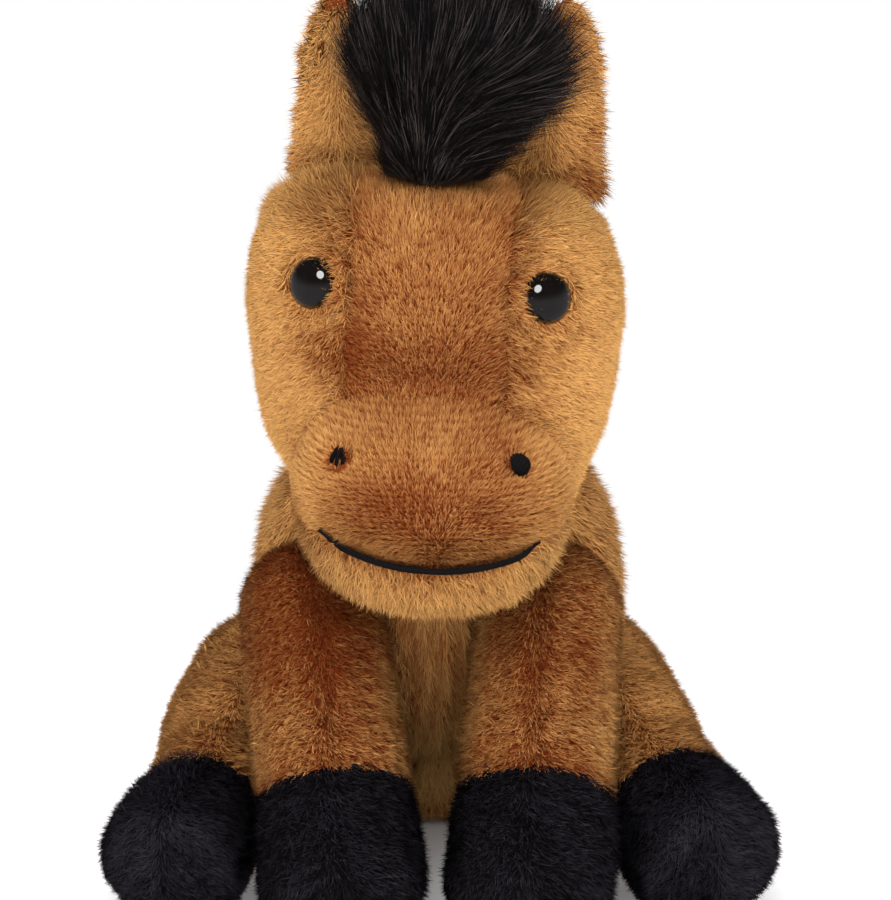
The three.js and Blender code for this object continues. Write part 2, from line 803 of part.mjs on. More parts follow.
function makeHead() {
  const group = new THREE.Group();
  group.position.copy(neckPoint);
  group.rotation.copy(headTurn);
  const sides = [right, left];
  const eyes = sides.map(eyeSeat);
  const seated = (form, i) => placeAlong(form, eyes[i].point, eyes[i].normal);
  const recesses = sides.flatMap((side, i) => [seated(eyeRecess(), i), seated(washerRecess(), i)]);
  const grooves = sides.map((side) => earRoot(seamGap).applyMatrix4(earFrame(side).matrix));
  const stitches = [nostrilForm(left, seamGap), nostrilForm(right, seamGap), mouthForm(seamGap)];
  const socket = clearBall(0, 0, 0, neckRadius + seamGap);
  const shell = cut(headForm(0, fineDetail), headForm(coverWall), socket, ...recesses, ...grooves, ...stitches);
  const fill = cut(headForm(coverWall + seamGap), socket, ...recesses, ...grooves);
  const face = cut(shell, muzzleRegion(seamGap), chinRegion(seamGap));
  const nose = cut(common(shell, muzzleRegion(0)), chinRegion(seamGap));
  group.add(piece('forehead_gusset', common(face, middleRegion(0)), plush(browns.plush)));
  for (const side of sides) {
    const name = side === left ? 'left' : 'right';
    const panel = cut(common(face, sideRegion(side)), middleRegion(seamGap));
    group.add(piece(`head_side_${name}`, panel, plush(browns.plush)));
    group.add(piece(`nostril_${name}`, nostrilForm(side, 0), plush(blacks.thread)));
    group.add(makeEar(side));
  }
  group.add(piece('muzzle_panel', nose, plush(browns.plush)));
  group.add(piece('chin_panel', common(shell, chinRegion(0)), plush(browns.light)));
  group.add(piece('head_stuffing', fill, plush(fills.fibre)));
  group.add(piece('mouth', mouthForm(0), plush(blacks.thread)));
  const plastic = new THREE.MeshStandardMaterial({ color: blacks.plastic, roughness: 0.08, metalness: 0 });
  const nylon = new THREE.MeshStandardMaterial({ color: fills.washer, roughness: 0.5, metalness: 0 });
  sides.forEach((side, i) => {
    const name = side === left ? 'left' : 'right';
    group.add(piece(`eye_${name}`, seated(eyeForm(), i), plastic));
    group.add(piece(`eye_washer_${name}`, seated(washerForm(), i), nylon));
  });
  group.add(makeForelock());
  group.add(makeCrestMane());
  return group;
}

function makeLeg(leg, keepClear) {
  const group = new THREE.Group();
  const stand = (geometry) => cut(placeAlong(geometry, leg.joint, leg.direction), below(0), ...keepClear);
  const fill = revolve(legOutline(leg, coverWall + seamGap));
  group.add(piece(`${leg.name}_cover`, stand(legCover(leg)), plush(browns.plush)));
  group.add(piece(`${leg.name}_hoof`, stand(legHoof(leg)), plush(blacks.plush)));
  group.add(piece(`${leg.name}_sole`, stand(legSole(leg)), plush(blacks.plush)));
  group.add(piece(`${leg.name}_stuffing`, stand(fill), plush(fills.fibre)));
  return group;
}

function makeTail(point) {
  const drop = tailLength * tailDropShare;
  const lumps = [
    lump(0, 0, 0, tailRootRadius, tailRootRadius, tailRootRadius, softSquareShare),
    lump(0, 0, -drop, tailHalfWidth, tailHalfDepth, tailLength * tailSwellShare, softSquareShare),
  ];
  const tuft = softForm(lumps, new THREE.Vector3(0, 0, -drop), coarseDetail, 0);
  tuft.rotateX(radians(tailSlope)).translate(point.x, point.y, point.z);
  const rump = softForm(torsoLumps, torsoMiddle, fineDetail - 1, -seamGap).translate(0, 0, seatShift);
  const hanging = cut(tuft, rump);
  return piece('tail', join(hanging, ballAt(point.x, point.y, point.z, tailRootRadius)), plush(blacks.pile));
}

function makeHorse() {
  const horse = new THREE.Group();
  const fronts = [right, left].map((side) => legSizes(side, 'front'));
  const hinds = [right, left].map((side) => legSizes(side, 'hind'));
  const rumpTop = new THREE.Vector3(-rumpAside, 0, tailLift - seatShift);
  const tailPoint = skinPoint(torsoLumps, rumpTop, new THREE.Vector3(0, 1, 0));
  tailPoint.z += seatShift;
  horse.add(makeTorso([...fronts, ...hinds], tailPoint));
  horse.add(makeHead());
  const room = headRoom(nodRoom);
  fronts.forEach((leg) => {
    horse.add(makeLeg(leg, [room, turned(room, leg.joint, leg.axis, -leg.swing)]));
  });
  hinds.forEach((leg, i) => horse.add(makeLeg(leg, [legRoom(fronts[i], 0)])));
  horse.add(makeTail(tailPoint));
  return horse;
}

export default makeHorse();
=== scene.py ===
import json
import math

import bmesh
import bpy
import numpy as np
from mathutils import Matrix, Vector, noise
from mathutils.bvhtree import BVHTree

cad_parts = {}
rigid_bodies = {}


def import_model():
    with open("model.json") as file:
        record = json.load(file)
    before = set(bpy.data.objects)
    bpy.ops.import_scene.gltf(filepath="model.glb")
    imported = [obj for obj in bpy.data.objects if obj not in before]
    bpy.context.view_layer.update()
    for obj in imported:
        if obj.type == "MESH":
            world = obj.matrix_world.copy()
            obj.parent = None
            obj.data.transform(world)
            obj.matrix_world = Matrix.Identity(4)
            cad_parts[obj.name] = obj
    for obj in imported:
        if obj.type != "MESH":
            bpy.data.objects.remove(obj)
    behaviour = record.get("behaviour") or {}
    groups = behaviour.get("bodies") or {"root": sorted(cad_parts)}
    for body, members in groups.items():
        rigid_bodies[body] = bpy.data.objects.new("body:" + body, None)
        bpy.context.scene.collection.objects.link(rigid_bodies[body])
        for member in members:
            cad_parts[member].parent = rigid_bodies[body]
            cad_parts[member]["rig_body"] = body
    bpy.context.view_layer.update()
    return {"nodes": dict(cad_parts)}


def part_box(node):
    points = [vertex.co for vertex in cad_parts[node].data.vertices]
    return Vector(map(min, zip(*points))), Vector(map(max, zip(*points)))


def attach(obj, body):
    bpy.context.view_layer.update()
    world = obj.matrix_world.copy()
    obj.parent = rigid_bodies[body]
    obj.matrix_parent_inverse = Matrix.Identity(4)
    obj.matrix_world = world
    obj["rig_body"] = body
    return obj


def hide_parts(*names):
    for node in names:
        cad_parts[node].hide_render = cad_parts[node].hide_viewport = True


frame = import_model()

bl_info = {
    "name": "Plush Horse",
    "version": (1, 0, 0),
    "blender": (4, 5, 0),
    "location": "View3D > Sidebar > Plush Horse",
    "description": "Dresses the packed plush horse with sewn skins, pile, eyes and embroidery",
    "category": "Object",
}

MM = 0.001
TINY = 1e-9
MIDDLE = 0.5
PER_SQUARE_METRE = 1e6
FULL_TURN = 2 * math.pi
WHITE = (1, 1, 1)
PILE_MAP = "OFBake"
SIDES = ("left", "right")


# Node trees

MIX_FIRST, MIX_SECOND, MIX_RESULT = 6, 7, 2


class Wire:
    """One output in a node tree. Arithmetic on it adds the nodes that work it out."""

    def __init__(self, tree, socket=None):
        self.tree = tree
        self.socket = socket

    def node(self, kind, inputs=None, output=0, **settings):
        """Adds a node, applies its settings, fills or links its inputs and returns one output."""
        made = self.tree.nodes.new(kind)
        for name, value in settings.items():
            setattr(made, name, value)
        for name, value in (inputs or {}).items():
            if isinstance(value, Wire):
                self.tree.links.new(value.socket, made.inputs[name])
            else:
                made.inputs[name].default_value = value
        return Wire(self.tree, made.outputs[output]) if len(made.outputs) else made

    def out(self, name):
        """Another output of the same node."""
        return Wire(self.tree, self.socket.node.outputs[name])

    def math(self, operation, *others):
        return self.node("ShaderNodeMath", dict(enumerate((self, *others))), operation=operation)

    def vector(self, operation, *others, output=0):
        inputs = dict(enumerate((self, *others)))
        return self.node("ShaderNodeVectorMath", inputs, output, operation=operation)

    def scaled(self, factor):
        return self.node("ShaderNodeVectorMath", {0: self, "Scale": factor}, operation="SCALE")

    def axis(self, name):
        return self.node("ShaderNodeSeparateXYZ", {"Vector": self}, name)

    def clamped(self):
        return self.node("ShaderNodeClamp", {"Value": self})

    def eased(self, start, end, first=0.0, last=1.0):
        """This value eased from first to last while it goes from start to end."""
        return self.node("ShaderNodeMapRange", {
            "Value": self, "From Min": start, "From Max": end, "To Min": first, "To Max": last,
        }, "Result", interpolation_type="SMOOTHSTEP")

    def mix(self, factor, first, second, blend="MIX"):
        """Two colours mixed by a factor."""
        first, second = (each if isinstance(each, Wire) else (*each, 1) for each in (first, second))
        return self.node("ShaderNodeMix", {"Factor": factor, MIX_FIRST: first, MIX_SECOND: second},
                         MIX_RESULT, data_type="RGBA", blend_type=blend)

    def __add__(self, other):
        return self.math("ADD", other)

    __radd__ = __add__

    def __mul__(self, other):
        return self.math("MULTIPLY", other)

    __rmul__ = __mul__

    def __sub__(self, other):
        return self.math("SUBTRACT", other)

    def __rsub__(self, other):
        return self.node("ShaderNodeMath", {0: other, 1: self}, operation="SUBTRACT")

    def __truediv__(self, other):
        return self.math("DIVIDE", other)

    def __rtruediv__(self, other):
        return self.node("ShaderNodeMath", {0: other, 1: self}, operation="DIVIDE")


SCREEN_WHITE = 255
STRAIGHT_END, STRAIGHT_SLOPE, CURVE_LIFT, CURVE_POWER = 0.04045, 12.92, 0.055, 2.4


def linear(red, green, blue):
    """A colour as it is read off a screen, in the values that shaders use, by the sRGB curve."""
    def one(value):
        share = value / SCREEN_WHITE
        if share <= STRAIGHT_END:
            return share / STRAIGHT_SLOPE
        return ((share + CURVE_LIFT) / (1 + CURVE_LIFT)) ** CURVE_POWER
    return one(red), one(green), one(blue)


# Sizes and colours


def length(name, description, millimetres):
    return bpy.props.FloatProperty(name=name, description=description, default=millimetres * MM,
                                   min=0, unit="LENGTH", precision=5)


def count(name, description, default):
    return bpy.props.FloatProperty(name=name, description=description, default=default, min=0)


def colour(name, description, red, green, blue):
    return bpy.props.FloatVectorProperty(name=name, description=description, subtype="COLOR",
                                         min=0, max=1, default=linear(red, green, blue))


class HorseSizes(bpy.types.PropertyGroup):
    """Sizes of the sewn skins, the pile and the trim."""

    skin_grid: length("Skin grid", "Spacing of the points on the sewn skins", 1.35)
    skin_wall: length("Backing", "Thickness of the knitted backing", 0.9)
    seam_depth: length("Seam depth", "How far a seam draws the skin in", 0.9)
    seam_width: length("Seam width", "How wide a seam's valley is", 2.2)
    lump_height: length("Lumps", "How far the filling pushes the skin out", 0.8)
    pile_width: length("Pile width", "Width of one tuft of short pile at its root", 0.3)
    pile_per_mm: count("Pile count", "Tufts of short pile on a square millimetre", 10.0)
    clump: length("Clump", "Width of a clump of tufts that lean alike", 0.8)
    rib: length("Rib", "Spacing of the rows of the knitted backing", 1.15)
    hair_width: length("Hair width", "Width of one strand of long pile", 0.14)
    eye_radius: length("Eye radius", "Radius of the safety eyes", 6.1)
    thread_radius: length("Thread radius", "Radius of the embroidery thread", 0.26)
    nostril_width: length("Nostril width", "Width of the embroidered nostrils", 4.2)
    nostril_height: length("Nostril height", "Height of the embroidered nostrils", 6.0)


class HorseColours(bpy.types.PropertyGroup):
    """Colours of the plush, the pile and the trim."""

    brown_deep: colour("Deep brown", "Coat in its darkest tufts", 126, 50, 11)
    brown_gold: colour("Golden brown", "Coat in its lightest tufts", 249, 189, 112)
    light_deep: colour("Chest brown", "Chest pile in its darkest tufts", 148, 68, 22)
    light_gold: colour("Chest gold", "Chest pile in its lightest tufts", 252, 200, 124)
    black_deep: colour("Black", "Hoof pile in its darkest tufts", 19, 17, 18)
    # The hoof pile's grey is painted sheen on its lightest tufts
    black_grey: colour("Grey sheen", "Hoof pile in its lightest tufts", 66, 62, 70)
    mane_deep: colour("Mane black", "Mane hair in its darkest strands", 8, 7, 8)
    # The mane's light strands are partly real light hairs and partly painted sheen
    mane_light: colour("Mane sheen", "The few light strands of the mane", 128, 112, 108)
    thread: colour("Thread", "Embroidery thread", 8, 7, 7)
    thread_sheen: colour("Thread sheen", "Embroidery thread where its twist is lit", 24, 21, 22)
    eye: colour("Eye", "Moulded eye", 5, 4, 4)
    eye_cloud: colour("Eye cloud", "Faint clouds in the moulded eye", 16, 12, 11)
    filling: colour("Filling", "Fibre filling", 232, 228, 218)
    pouch: colour("Pouch", "Cloth of the pellet pouch", 206, 196, 176)
    nylon: colour("Nylon", "Locking washers", 226, 224, 214)
    floor: colour("Floor", "Floor and backdrop", 246, 246, 246)


def sizes():
    return bpy.context.scene.horse_sizes


def colours():
    return bpy.context.scene.horse_colours


# Materials

# Painted shade: how far the tone is lowered, and how the darkened roots fade towards the tips
ROOT_SHADE = 0.1
ROOT_FADE = 0.8
EYE_ROUGHNESS = 0.04
EYE_SMEARS = 0.03

# Of each pile: darkest and lightest colour, tint of the painted shade at the roots, roughness, gloss and
# painted light at the tips

PILES = {
    "brown_pile": ("brown_deep", "brown_gold", (0.4, 0.22, 0.13), 0.8, 0.08, 0.34),
    "light_pile": ("light_deep", "light_gold", (0.6, 0.42, 0.3), 0.8, 0.08, 0.34),
    "mane_pile": ("mane_deep", "mane_light", (0.5, 0.5, 0.5), 0.5, 0.2, 0.0),
    "hoof_pile": ("black_deep", "black_grey", (0.3, 0.3, 0.3), 0.8, 0.0, 0.12),
}


def material(name, build):
    """The material of that name, built the first time that it is asked for."""
    if name not in bpy.data.materials:
        made = bpy.data.materials.new(name)
        made.use_nodes = True
        made.node_tree.nodes.clear()
        wire = Wire(made.node_tree)
        wire.node("ShaderNodeOutputMaterial", {"Surface": build(wire)})
    return bpy.data.materials[name]


def speckles(wire, scale, detail):
    """Noise that is fixed to the object."""
    place = wire.node("ShaderNodeTexCoord", output="Object")
    return wire.node("ShaderNodeTexNoise", {"Vector": place, "Scale": scale, "Detail": detail}, "Fac")


def pile(name):
    """Pile whose colour follows its own map: tone of the lock across, place along the lock up. Its roots
    are darkened with painted shade and its tips lightened with painted light.
    """
    deep, light, root, roughness, gloss, tip = PILES[name]

    def build(wire):
        tone = wire.node("ShaderNodeUVMap", uv_map=PILE_MAP).axis("X")
        along = tone.out("Y")
        # Painted light at the tips and painted shade at the roots, for the shade that the tufts cast on
        # one another
        tone = (tone + tip * along * along - ROOT_SHADE).clamped()
        coat = wire.mix(tone, getattr(colours(), deep), getattr(colours(), light))
        shadow = wire.mix(1.0, coat, root, "MULTIPLY")
        shaded = wire.mix(along.math("POWER", ROOT_FADE), shadow, coat)
        return wire.node("ShaderNodeBsdfPrincipled", {
            "Base Color": shaded, "Roughness": roughness, "Specular IOR Level": gloss})
    return material(name, build)


def thread_material():
    """Matt thread with a fine twist, and painted sheen where the twist is lit."""
    def build(wire):
        place = wire.node("ShaderNodeTexCoord", output="Object")
        twist = wire.node("ShaderNodeTexWave", {"Vector": place, "Scale": 900.0, "Distortion": 1.5}, "Fac",
                          bands_direction="DIAGONAL")
        # Painted sheen along the twist
        return wire.node("ShaderNodeBsdfPrincipled", {
            "Base Color": wire.mix(twist, colours().thread, colours().thread_sheen),
            "Roughness": 0.6, "Specular IOR Level": 0.08,
            "Normal": wire.node("ShaderNodeBump", {"Height": twist, "Distance": 0.0001, "Strength": 0.6})})
    return material("satin_thread", build)


def eye_material():
    """Glossy moulded plastic with faint clouds."""
    def build(wire):
        cloud = speckles(wire, scale=300.0, detail=3.0)
        return wire.node("ShaderNodeBsdfPrincipled", {
            "Base Color": wire.mix(cloud, colours().eye, colours().eye_cloud),
            "Roughness": EYE_ROUGHNESS + EYE_SMEARS * cloud, "Coat Weight": 0.6, "Coat Roughness": 0.02})
    return material("eye_gloss", build)


def filling_material(name, tint):
    """A dull tint that is whiter in its fluff."""
    def build(wire):
        fluff = speckles(wire, scale=420.0, detail=6.0)
        return wire.node("ShaderNodeBsdfPrincipled", {
            "Base Color": wire.mix(fluff, tint, WHITE), "Roughness": 0.95,
            "Normal": wire.node("ShaderNodeBump", {"Height": fluff, "Distance": 0.0008, "Strength": 0.8})})
    return material(name, build)


# Meshes and fields

WELD = 0.00001
SMOOTHING_SHARE = 0.5
NOISE_SKEW = 0.7
FRACTAL = (1.0, 2.0, 2)


def placed(name, mesh):
    """A new object of a mesh, linked to the scene."""
    made = bpy.data.objects.new(name, mesh)
    bpy.context.scene.collection.objects.link(made)
    return made


def set_values(mesh, domain="POINT", **values):
    """Writes a number for each point or face, under each given name."""
    for name, data in values.items():
        mesh.attributes.new(name, "FLOAT", domain).data.foreach_set("value", np.asarray(data, np.float32))


def set_vectors(mesh, **values):
    """Writes a vector for each point, under each given name."""
    for name, data in values.items():
        flat = np.asarray(data, np.float32).ravel()
        mesh.attributes.new(name, "FLOAT_VECTOR", "POINT").data.foreach_set("vector", flat)


def solids(nodes):
    """The named CAD solids together in one working mesh."""
    work = bmesh.new()
    for node in nodes:
        work.from_mesh(frame["nodes"][node].data)
    return work


def tree_of(nodes):
    work = solids(nodes)
    tree = BVHTree.FromBMesh(work)
    work.free()
    return tree


def distances(tree, points):
    """Distance from each point to a surface, and the nearest place on it."""
    found = [tree.find_nearest(p) for p in points]
    return np.array([f[3] for f in found]), np.array([f[0][:] for f in found])


def arrays(mesh):
    """The points, normals and faces of a mesh."""
    points = np.zeros(len(mesh.vertices) * 3)
    mesh.vertices.foreach_get("co", points)
    normals = np.zeros(len(mesh.vertices) * 3)
    mesh.vertices.foreach_get("normal", normals)
    faces = [tuple(p.vertices) for p in mesh.polygons]
    return points.reshape(-1, 3), normals.reshape(-1, 3), faces


def centre_of(points):
    """The middle of the box that the points fill."""
    return (points.min(0) + points.max(0)) / 2


def unit(vectors):
    return vectors / np.maximum(np.linalg.norm(vectors, axis=-1, keepdims=True), TINY)


def tangent(vectors, normals):
    flat = vectors - normals * np.sum(vectors * normals, axis=1, keepdims=True)
    return unit(flat)


def ramp(values, low, high):
    """0 up to low, 1 from high on, and an easy rise between them."""
    share = np.clip((values - low) / (high - low), 0, 1)
    return share * share * (3 - 2 * share)


def hill(values, width):
    """1 at nought, and an easy fall over about the width to either side."""
    return np.exp(-(values / width) ** 2)


def clouds(points, size, offset=0.0):
    """Smooth noise, about -1 to 1, with patches of the given size."""
    shift = Vector((offset, offset * NOISE_SKEW, -offset))
    return np.array([noise.fractal(Vector(p) / size + shift, *FRACTAL) for p in points])


# Skins

SEAM_SHADE = 0.12
SEAM_SHADE_SPREAD = 1.3
LUMP_SIZE = 0.021
SOCKET_ROOM = 0.0016
CLOSE_ROOM = 0.0007
SOCKET_FADE = 3.2
SHORTEST_BY_SOCKET = 0.45
FLOOR_GAP = 0.0002
FLOOR_BARE = 0.0012
PILE_ON_FLOOR = 0.0001
PILE_SPRING = 0.02
EYE_PARTING = 0.0105
EYE_PARTING_SHARE = 0.6
ABOVE_EYE = (0.45, 0.85)
BESIDE_EYE = (0.35, 0.75)
RECESS_REACH = 3
THINNER_BEHIND = 0.5
BEHIND = (0.1, 0.5)
# The patch of the map whose colour, the roots' painted shade, the backing takes
ROOT_SPOT = (0.3, 0.01)
ROOT_SPOT_RADIUS = 0.004


class Skin:
    """A sewn surface as arrays: points, normals, faces, and the panel that each face belongs to."""

    def __init__(self, points, normals, faces):
        self.points = points
        self.normals = normals
        self.faces = faces
        self.panel = np.zeros(len(points), int)
        self.comb = np.zeros((len(points), 3))
        self.comb[:, 2] = -1
        self.long = np.ones(len(points))
        self.bare = np.zeros(len(points))
        self.flat = np.ones(len(points))
        self.tone = np.full(len(points), MIDDLE)

    @property
    def x(self):
        return self.points[:, 0]

    @property
    def z(self):
        return self.points[:, 2]

    @property
    def in_front(self):
        return self.normals[:, 1] < 0

    def push(self, amount):
        """Moves each point out along its normal."""
        self.points = self.points + self.normals * amount[:, None]

    def strip(self, where):
        """Leaves the pile off where the condition holds."""
        self.bare = np.maximum(self.bare, where.astype(float))

    def lay(self, across, back, up):
        """Combs the pile one way at each point, along the surface."""
        ways = [np.broadcast_to(np.asarray(way, float), len(self.points)) for way in (across, back, up)]
        self.comb = tangent(np.stack(ways, axis=1), self.normals)


def fill_base(mesh, height):
    """Fills out the foot of a form up to a height, so that it has no waist there."""
    work = bmesh.new()
    work.from_mesh(mesh)
    foot = min(v.co.z for v in work.verts) + height
    hull = bmesh.new()
    for vert in work.verts:
        if vert.co.z < foot:
            hull.verts.new(vert.co)
    bmesh.ops.convex_hull(hull, input=hull.verts)
    base = bpy.data.meshes.new("base_work")
    hull.to_mesh(base)
    hull.free()
    work.from_mesh(base)
    work.to_mesh(mesh)
    work.free()
    bpy.data.meshes.remove(base)


def remeshed(mesh, grid, smoothing):
    """A mesh laid over with an even grid and smoothed."""
    holder = placed("skin_work", mesh)
    remesh = holder.modifiers.new("grid", "REMESH")
    remesh.mode = "VOXEL"
    remesh.voxel_size = grid
    smooth = holder.modifiers.new("smooth", "SMOOTH")
    smooth.factor = SMOOTHING_SHARE
    smooth.iterations = smoothing
    shown = holder.evaluated_get(bpy.context.evaluated_depsgraph_get())
    made = bpy.data.meshes.new_from_object(shown)
    bpy.data.objects.remove(holder)
    return made


def island_of(start, seen):
    """All points that hang together with the first one."""
    island = [start]
    seen.add(start.index)
    for vert in island:
        for edge in vert.link_edges:
            other = edge.other_vert(vert)
            if other.index not in seen:
                seen.add(other.index)
                island.append(other)
    return island


def keep_largest(mesh):
    """Leaves only the largest part of a mesh, faced outwards."""
    work = bmesh.new()
    work.from_mesh(mesh)
    work.verts.ensure_lookup_table()
    seen = set()
    islands = [island_of(vert, seen) for vert in work.verts if vert.index not in seen]
    keep = set(max(islands, key=len))
    bmesh.ops.delete(work, geom=[v for v in work.verts if v not in keep], context="VERTS")
    bmesh.ops.recalc_face_normals(work, faces=work.faces)
    work.to_mesh(mesh)
    work.free()


def outer_skin(nodes, grid, smoothing, base=0.0, inset=0.0):
    """One smooth closed surface round the named solids, as the filled cover has outside."""
    work = solids(nodes)
    bmesh.ops.remove_doubles(work, verts=work.verts, dist=WELD)
    mesh = bpy.data.meshes.new("skin_work")
    work.to_mesh(mesh)
    work.free()
    if base:
        fill_base(mesh, base)
    mesh = remeshed(mesh, grid, smoothing)
    keep_largest(mesh)
    skin = Skin(*arrays(mesh))
    skin.points = skin.points - inset * skin.normals
    return skin


def panels_of(skin, nodes, reach=()):
    """Gives each point its nearest panel, and draws the skin in along the seams between them, with painted
    shade in the seams.
    """
    far = np.array([distances(tree_of([node]), skin.points)[0] for node in nodes])
    for panel, extra in reach:
        far[panel] -= extra
    order = np.sort(far, axis=0)
    skin.panel = np.argmin(far, axis=0)
    if len(nodes) > 1:
        seam = (order[1] - order[0]) / 2
        skin.push(-sizes().seam_depth * hill(seam, sizes().seam_width))
        # Painted shade along the seams' valleys
        skin.tone = skin.tone - SEAM_SHADE * hill(seam, SEAM_SHADE_SPREAD * sizes().seam_width)


def fill_out(skin, offset, amount=1.0):
    """The slight lumps of a hand-stuffed cover."""
    skin.push(sizes().lump_height * amount * clouds(skin.points, LUMP_SIZE, offset))


def hide_sockets(skin, others, room=SOCKET_ROOM):
    """No pile where another body fits against the skin."""
    near = distances(tree_of(others), skin.points)[0]
    skin.strip(near < room)
    rise = ramp(near, room, SOCKET_FADE * room)
    skin.long = skin.long * (SHORTEST_BY_SOCKET + (1 - SHORTEST_BY_SOCKET) * rise)


def lift_off_floor(skin):
    skin.z[:] = np.maximum(skin.z, FLOOR_GAP)


def bare_underside(skin):
    skin.strip(skin.z < FLOOR_BARE)


def level_recess(skin, top, axis, radius, depth):
    """Fills a recess for an eye up to just under its rim, so that only the dome stands out."""
    below = (top - skin.points) @ axis
    aside = np.linalg.norm(skin.points - top + below[:, None] * axis, axis=1)
    lift = np.where((aside < radius) & (below < RECESS_REACH * depth), np.maximum(below - depth, 0), 0)
    skin.points = skin.points + lift[:, None] * axis


def sink(skin, centre, radius, depth):
    """A round dent with its middle at a point."""
    skin.push(-depth * hill(np.linalg.norm(skin.points - centre, axis=1), radius))


def part_pile(skin, tree, clear, reach, shortest, flatter=1.5, drop=0.0):
    """Pile is left off close to a piece of trim and combed away from it nearby."""
    points = skin.points + (0, 0, drop)
    gap, nearest = distances(tree, points)
    away = tangent(points - nearest, skin.normals)
    share = 1 - ramp(gap, clear, reach)
    skin.comb = unit(skin.comb * (1 - share[:, None]) + away * share[:, None])
    skin.long = skin.long * (1 - (1 - shortest) * share)
    skin.flat = skin.flat * (1 + (flatter - 1) * share)
    skin.strip(gap < clear)


def part_round_eye(skin, top, shorter=0.6, longer=0.1, flatter=0.6, inwards=0.7):
    """Pile is combed short above and below an eye, and lies over its rim at the sides."""
    out = skin.points - top
    gap = np.linalg.norm(out, axis=1)
    near = 1 - ramp(gap, EYE_PARTING_SHARE * EYE_PARTING, EYE_PARTING)
    upright = np.abs(out[:, 2]) / np.maximum(gap, TINY)
    above = near * ramp(upright, *ABOVE_EYE)
    beside = near * (1 - ramp(upright, *BESIDE_EYE))
    away = tangent(out, skin.normals)
    skin.comb = unit(skin.comb * (1 - near[:, None]) + away * (above - inwards * beside)[:, None])
    skin.long *= 1 - shorter * above + longer * beside
    skin.flat *= 1 + flatter * near


def panel_mesh(skin, index, name):
    """A closed shell of one panel, with the values that its pile grows from."""
    faces = [f for f in skin.faces if np.bincount(skin.panel[list(f)]).argmax() == index]
    used = sorted({v for f in faces for v in f})
    new = {old: i for i, old in enumerate(used)}
    top = skin.points[used]
    low = top - skin.normals[used] * sizes().skin_wall
    outer = [tuple(new[v] for v in f) for f in faces]
    total = len(used)
    inner = [tuple(v + total for v in reversed(f)) for f in outer]
    directed = {(f[i], f[(i + 1) % len(f)]) for f in outer for i in range(len(f))}
    rim = [(b, a, a + total, b + total) for a, b in directed if (b, a) not in directed]
    mesh = bpy.data.meshes.new(name)
    mesh.from_pydata(np.vstack([top, low]).tolist(), [], outer + inner + rim, shade_flat=False)
    values = {
        "long": skin.long[used], "grow": 1 - skin.bare[used], "tone": skin.tone[used],
        "flat": skin.flat[used], "thick": 1 - THINNER_BEHIND * ramp(skin.normals[used][:, 1], *BEHIND),
    }
    set_values(mesh, **{key: np.concatenate([data, np.zeros(total)]) for key, data in values.items()})
    set_vectors(mesh, comb=np.vstack([skin.comb[used], skin.comb[used]]))
    set_values(mesh, "FACE", outside=[1] * len(outer) + [0] * (len(inner) + len(rim)))
    root_map(mesh)
    return mesh


def root_map(mesh):
    """The backing takes the colour of the pile's roots, with their painted shade, from one small patch of
    the map.
    """
    layer = mesh.uv_layers.new(name=PILE_MAP)
    corners = np.zeros((len(mesh.loops), 2), np.float32)
    for face in mesh.polygons:
        for i, loop in enumerate(face.loop_indices):
            turn = FULL_TURN * i / face.loop_total
            corners[loop] = (ROOT_SPOT[0] + ROOT_SPOT_RADIUS * math.cos(turn),
                             ROOT_SPOT[1] + ROOT_SPOT_RADIUS * math.sin(turn))
    layer.data.foreach_set("uv", corners.ravel())


# Pile

SHORT_BEND = 0.25
SHORT_THICKNESS = 0.03
LONG_STEPS = 3
LONG_BEND = 0.2
LONG_BEND_POWER = 1.6
LONG_WAIST = 0.8
LONG_BELLY = 0.35
STEEPEST_LEAN = math.radians(84)
ROW_WANDER = 0.9
CLUMP_STRETCH = 0.55
CLUMP_SWIRL = 4
CLUMP_CONTRAST = 3
SOFT_FACING = 0.8
LEAN_STEP, STRAY_STEP, HEIGHT_STEP, WIDTH_STEP, TONE_STEP = 11, 12, 13, 14, 15
LEAN_RANGE = (0.75, 1.25)
WIDTH_RANGE = (0.7, 1.3)
TONE_TOP = 0.97
MAP_ACROSS = 0.02
MAP_START = 0.02
MAP_LENGTH = 0.96
PILE_ATTRIBUTES = ("long", "grow", "tone", "flat", "thick", "comb", "outside",
                   "up", "facing", "tint", "across", "along")
# Inputs of the pile tree; the clump shading and the rib light and shade paint light and shade into the
# tone
PILE_SOCKETS = (
    ("Density", "Float", 4e6), ("Length", "Float", 0.004), ("Width", "Float", 0.0004),
    ("Lean", "Float", 0.8), ("Scatter", "Float", 0.3), ("Tone spread", "Float", 0.25),
    ("Length spread", "Float", 0.25), ("Seed", "Int", 1), ("Clump", "Float", 0.001),
    ("Clump lean", "Float", 0.4), ("Clump tone", "Float", 0.3), ("Rib", "Float", 0.0013),
    ("Rib tone", "Float", 0.0), ("Rib lean", "Float", 0.0), ("Soft", "Float", 1.0),
    ("Lock", "Object", None), ("Material", "Material", None),
)


def short_lock():
    """One tuft of short pile: two blades back to back that meet at the tip."""
    back, front = -SHORT_THICKNESS, SHORT_THICKNESS
    points = [(back, -0.5, 0), (back, 0.5, 0), (front, -0.5, 0), (front, 0.5, 0), (SHORT_BEND, 0, 1)]
    return points, [(1, 0, 4), (2, 3, 4)], [0, 1, 0, 1, 0.5], [0, 0, 0, 0, 1]


